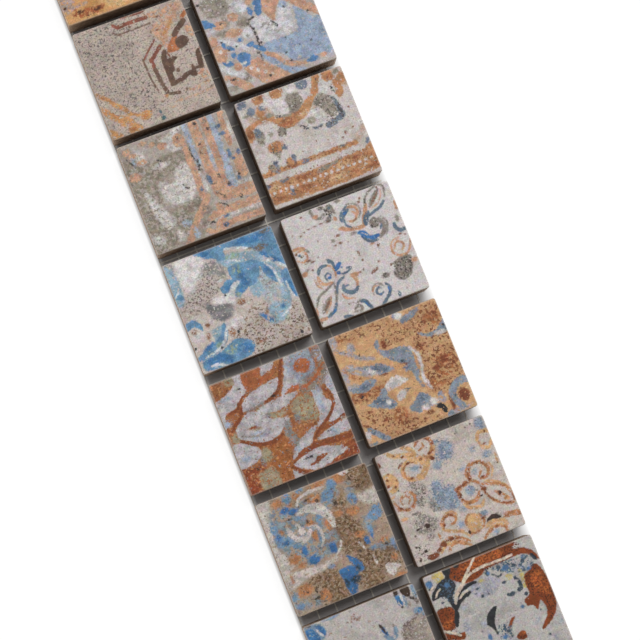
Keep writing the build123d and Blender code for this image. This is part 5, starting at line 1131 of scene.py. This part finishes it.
threads = threadTree(glassThread())
width, thickness = net["width"] * mm, net["thickness"] * mm
longStart = (net["shift"] - net["longPitch"] * (net["longCount"] - 1) / 2) * mm
crossStart = (net["farThread"] - net["crossPitch"] * (net["crossCount"] - 1)) * mm
rowsOfThreads = {  # the cross row is made like the long one, above it, and turned
    "long": dict(turn=0, values={"Count": net["longCount"], "Pitch": (net["longPitch"] * mm, 0, 0),
                                 "Start": (longStart, 0, thickness / 2), "Wave": net["longWave"] * mm,
                                 "Thread Size": (width, net["length"] * mm, thickness)}),
    "cross": dict(turn=90, values={"Count": net["crossCount"], "Pitch": (net["crossPitch"] * mm, 0, 0),
                                   "Start": (crossStart, 0, thickness * 1.5), "Wave": net["crossWave"] * mm,
                                   "Thread Size": (width, net["span"] * mm, thickness)}),
}
parts = []
for name, row in rowsOfThreads.items():
    piece = bpy.data.objects.new(f"threads_{name}", bpy.data.meshes.new(f"threads_{name}"))
    scene.collection.objects.link(piece)
    modifier = piece.modifiers.new("threads", "NODES")
    modifier.node_group = threads
    for item in threads.interface.items_tree:
        if item.in_out == "INPUT":
            modifier[item.identifier] = row["values"][item.name]
    plain = bpy.data.meshes.new_from_object(piece.evaluated_get(bpy.context.evaluated_depsgraph_get()))
    piece.modifiers.clear()
    bpy.data.objects.remove(piece)
    if row["turn"]:
        plain.transform(Euler((0, 0, math.radians(row["turn"]))).to_matrix().to_4x4())
    parts.append(plain)
joined = bmesh.new()
for part in parts:
    joined.from_mesh(part)
netMesh = parts[0]
joined.to_mesh(netMesh)
joined.free()
netPiece = bpy.data.objects.new("thread_net", netMesh)
scene.collection.objects.link(netPiece)
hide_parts("net_length_1", "net_length_2", "net_length_3", "net_length_4")
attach(netPiece, "root")
print("net made")


# Table, light and camera
# The table is a plain pale sheet with light and shade painted into it. For the camera it is painted shade in the
# joints and near white beyond the strip, where it glows, and it keeps the strip's shadow. For other rays it gives a
# painted darker bounce in the joints and painted extra light beyond, which brightens the strip's outer walls. Fades:
# from and to, in mm past each edge, and power; they paint light into the joints' open ends, wider on the right.
table = {"half": 3.0, "drop": 0.00002, "seen": (0.12, 0.12, 0.12), "glow": 0.92, "shaded": (0.34, 0.322, 0.316),
         "cast": (0.4, 0.37, 0.35), "castBeyond": (2.2, 2.2, 2.2),
         "fades": {"right": (-4.4, 1.1, 2.6), "left": (-1.0, 0.6, 2.0), "ends": (-1.5, 0.8, 2.0)}}
light = {"world": 0.44, "lamp": 16.4, "size": 0.8, "distance": 1.6, "azimuth": 50.0, "elevation": 61.0}
view = {"place": (-0.03815, -0.02821, 0.3337), "angles": (7.519, -4.348, -21.66), "lens": 95.06, "sensor": 36.0,
        "near": 0.01}

floorMesh = bpy.data.meshes.new("table")
h, z = table["half"], -table["drop"]
floorMesh.from_pydata([(-h, -h, z), (h, -h, z), (h, h, z), (-h, h, z)], [], [(0, 1, 2, 3)])
floor = bpy.data.objects.new("table", floorMesh)
scene.collection.objects.link(floor)
white = bpy.data.materials.new("white_table")
white.use_nodes = True
tree = white.node_tree
tree.nodes.clear()
camera = addNode(tree, "ShaderNodeLightPath", output="Is Camera Ray")
here = addNode(tree, "ShaderNodeTexCoord", output="Object")
apart = addNode(tree, "ShaderNodeSeparateXYZ", {0: here}).outputs
across = apart["X"]
along = addNode(tree, "ShaderNodeMath", {0: apart["Y"]}, 0, operation="ABSOLUTE")
edges = {"right": (across, cadBox[1][0]), "left": (cadBox[0][0], across), "ends": (along, cadBox[1][1])}
# beyond masks the painted light and shade: 0 where the joints get painted shade, 1 where the table glows, faded in at
# the joints' open ends as painted light
beyond = 0.0  # 0 in the joints, 1 on the open table
for side, (outer, inner) in edges.items():
    start, end, power = table["fades"][side]
    past = addNode(tree, "ShaderNodeMath", {0: outer, 1: inner}, 0, operation="SUBTRACT")
    even = addNode(tree, "ShaderNodeMapRange",
                   {"Value": past, "From Min": start * mm, "From Max": end * mm}, "Result")
    faded = addNode(tree, "ShaderNodeMath", {0: even, 1: power}, 0, operation="POWER")
    beyond = addNode(tree, "ShaderNodeMath", {0: beyond, 1: faded}, 0, operation="MAXIMUM")
# for the camera: painted shade in the joints (shaded); for other rays: a painted darker bounce in the joints (cast)
# and painted extra light beyond the strip (castBeyond) that brightens its outer walls
tones = [addNode(tree, "ShaderNodeMix", {0: beyond, 6: (*table[inside], 1), 7: (*table[outside], 1)}, 2, **blend)
         for inside, outside in (("cast", "castBeyond"), ("shaded", "seen"))]  # for other rays, for the camera
tone = addNode(tree, "ShaderNodeMix", {0: camera, 6: tones[0], 7: tones[1]}, 2, **blend)
skin = addNode(tree, "ShaderNodeBsdfDiffuse", {"Color": tone}, 0)
# painted light: for the camera the table glows beyond the strip and, through the fades, in the joints' open ends
level = addNode(tree, "ShaderNodeMath", {0: beyond, 1: camera}, 0, operation="MULTIPLY")
level = addNode(tree, "ShaderNodeMath", {0: level, 1: table["glow"]}, 0, operation="MULTIPLY")
glow = addNode(tree, "ShaderNodeEmission", {"Strength": level}, 0)
both = addNode(tree, "ShaderNodeAddShader", {0: skin, 1: glow}, 0)
addNode(tree, "ShaderNodeOutputMaterial", {"Surface": both})
floorMesh.materials.append(white)

scene.world = bpy.data.worlds.new("even_white")
scene.world.use_nodes = True
sky = scene.world.node_tree.nodes["Background"]
sky.inputs["Color"].default_value = (1, 1, 1, 1)
sky.inputs["Strength"].default_value = light["world"]

lampData = bpy.data.lights.new("window", "AREA")
lampData.shape = "DISK"
lampData.size = light["size"]
lampData.energy = light["lamp"]
lamp = bpy.data.objects.new("window", lampData)
scene.collection.objects.link(lamp)
azimuth, elevation = math.radians(light["azimuth"]), math.radians(light["elevation"])
towards = Vector((math.cos(azimuth) * math.cos(elevation), math.sin(azimuth) * math.cos(elevation),
                  math.sin(elevation)))
lamp.location = towards * light["distance"]
lamp.rotation_euler = (-lamp.location).to_track_quat("-Z", "Y").to_euler()

cameraData = bpy.data.cameras.new("camera")
cameraData.lens, cameraData.sensor_width = view["lens"], view["sensor"]
cameraData.clip_start = view["near"]
cam = bpy.data.objects.new("camera", cameraData)
scene.collection.objects.link(cam)
cam.location = view["place"]
cam.rotation_euler = Euler([math.radians(a) for a in view["angles"]])
scene.camera = cam
scene.view_settings.view_transform = "Standard"
print("table, light and camera made")
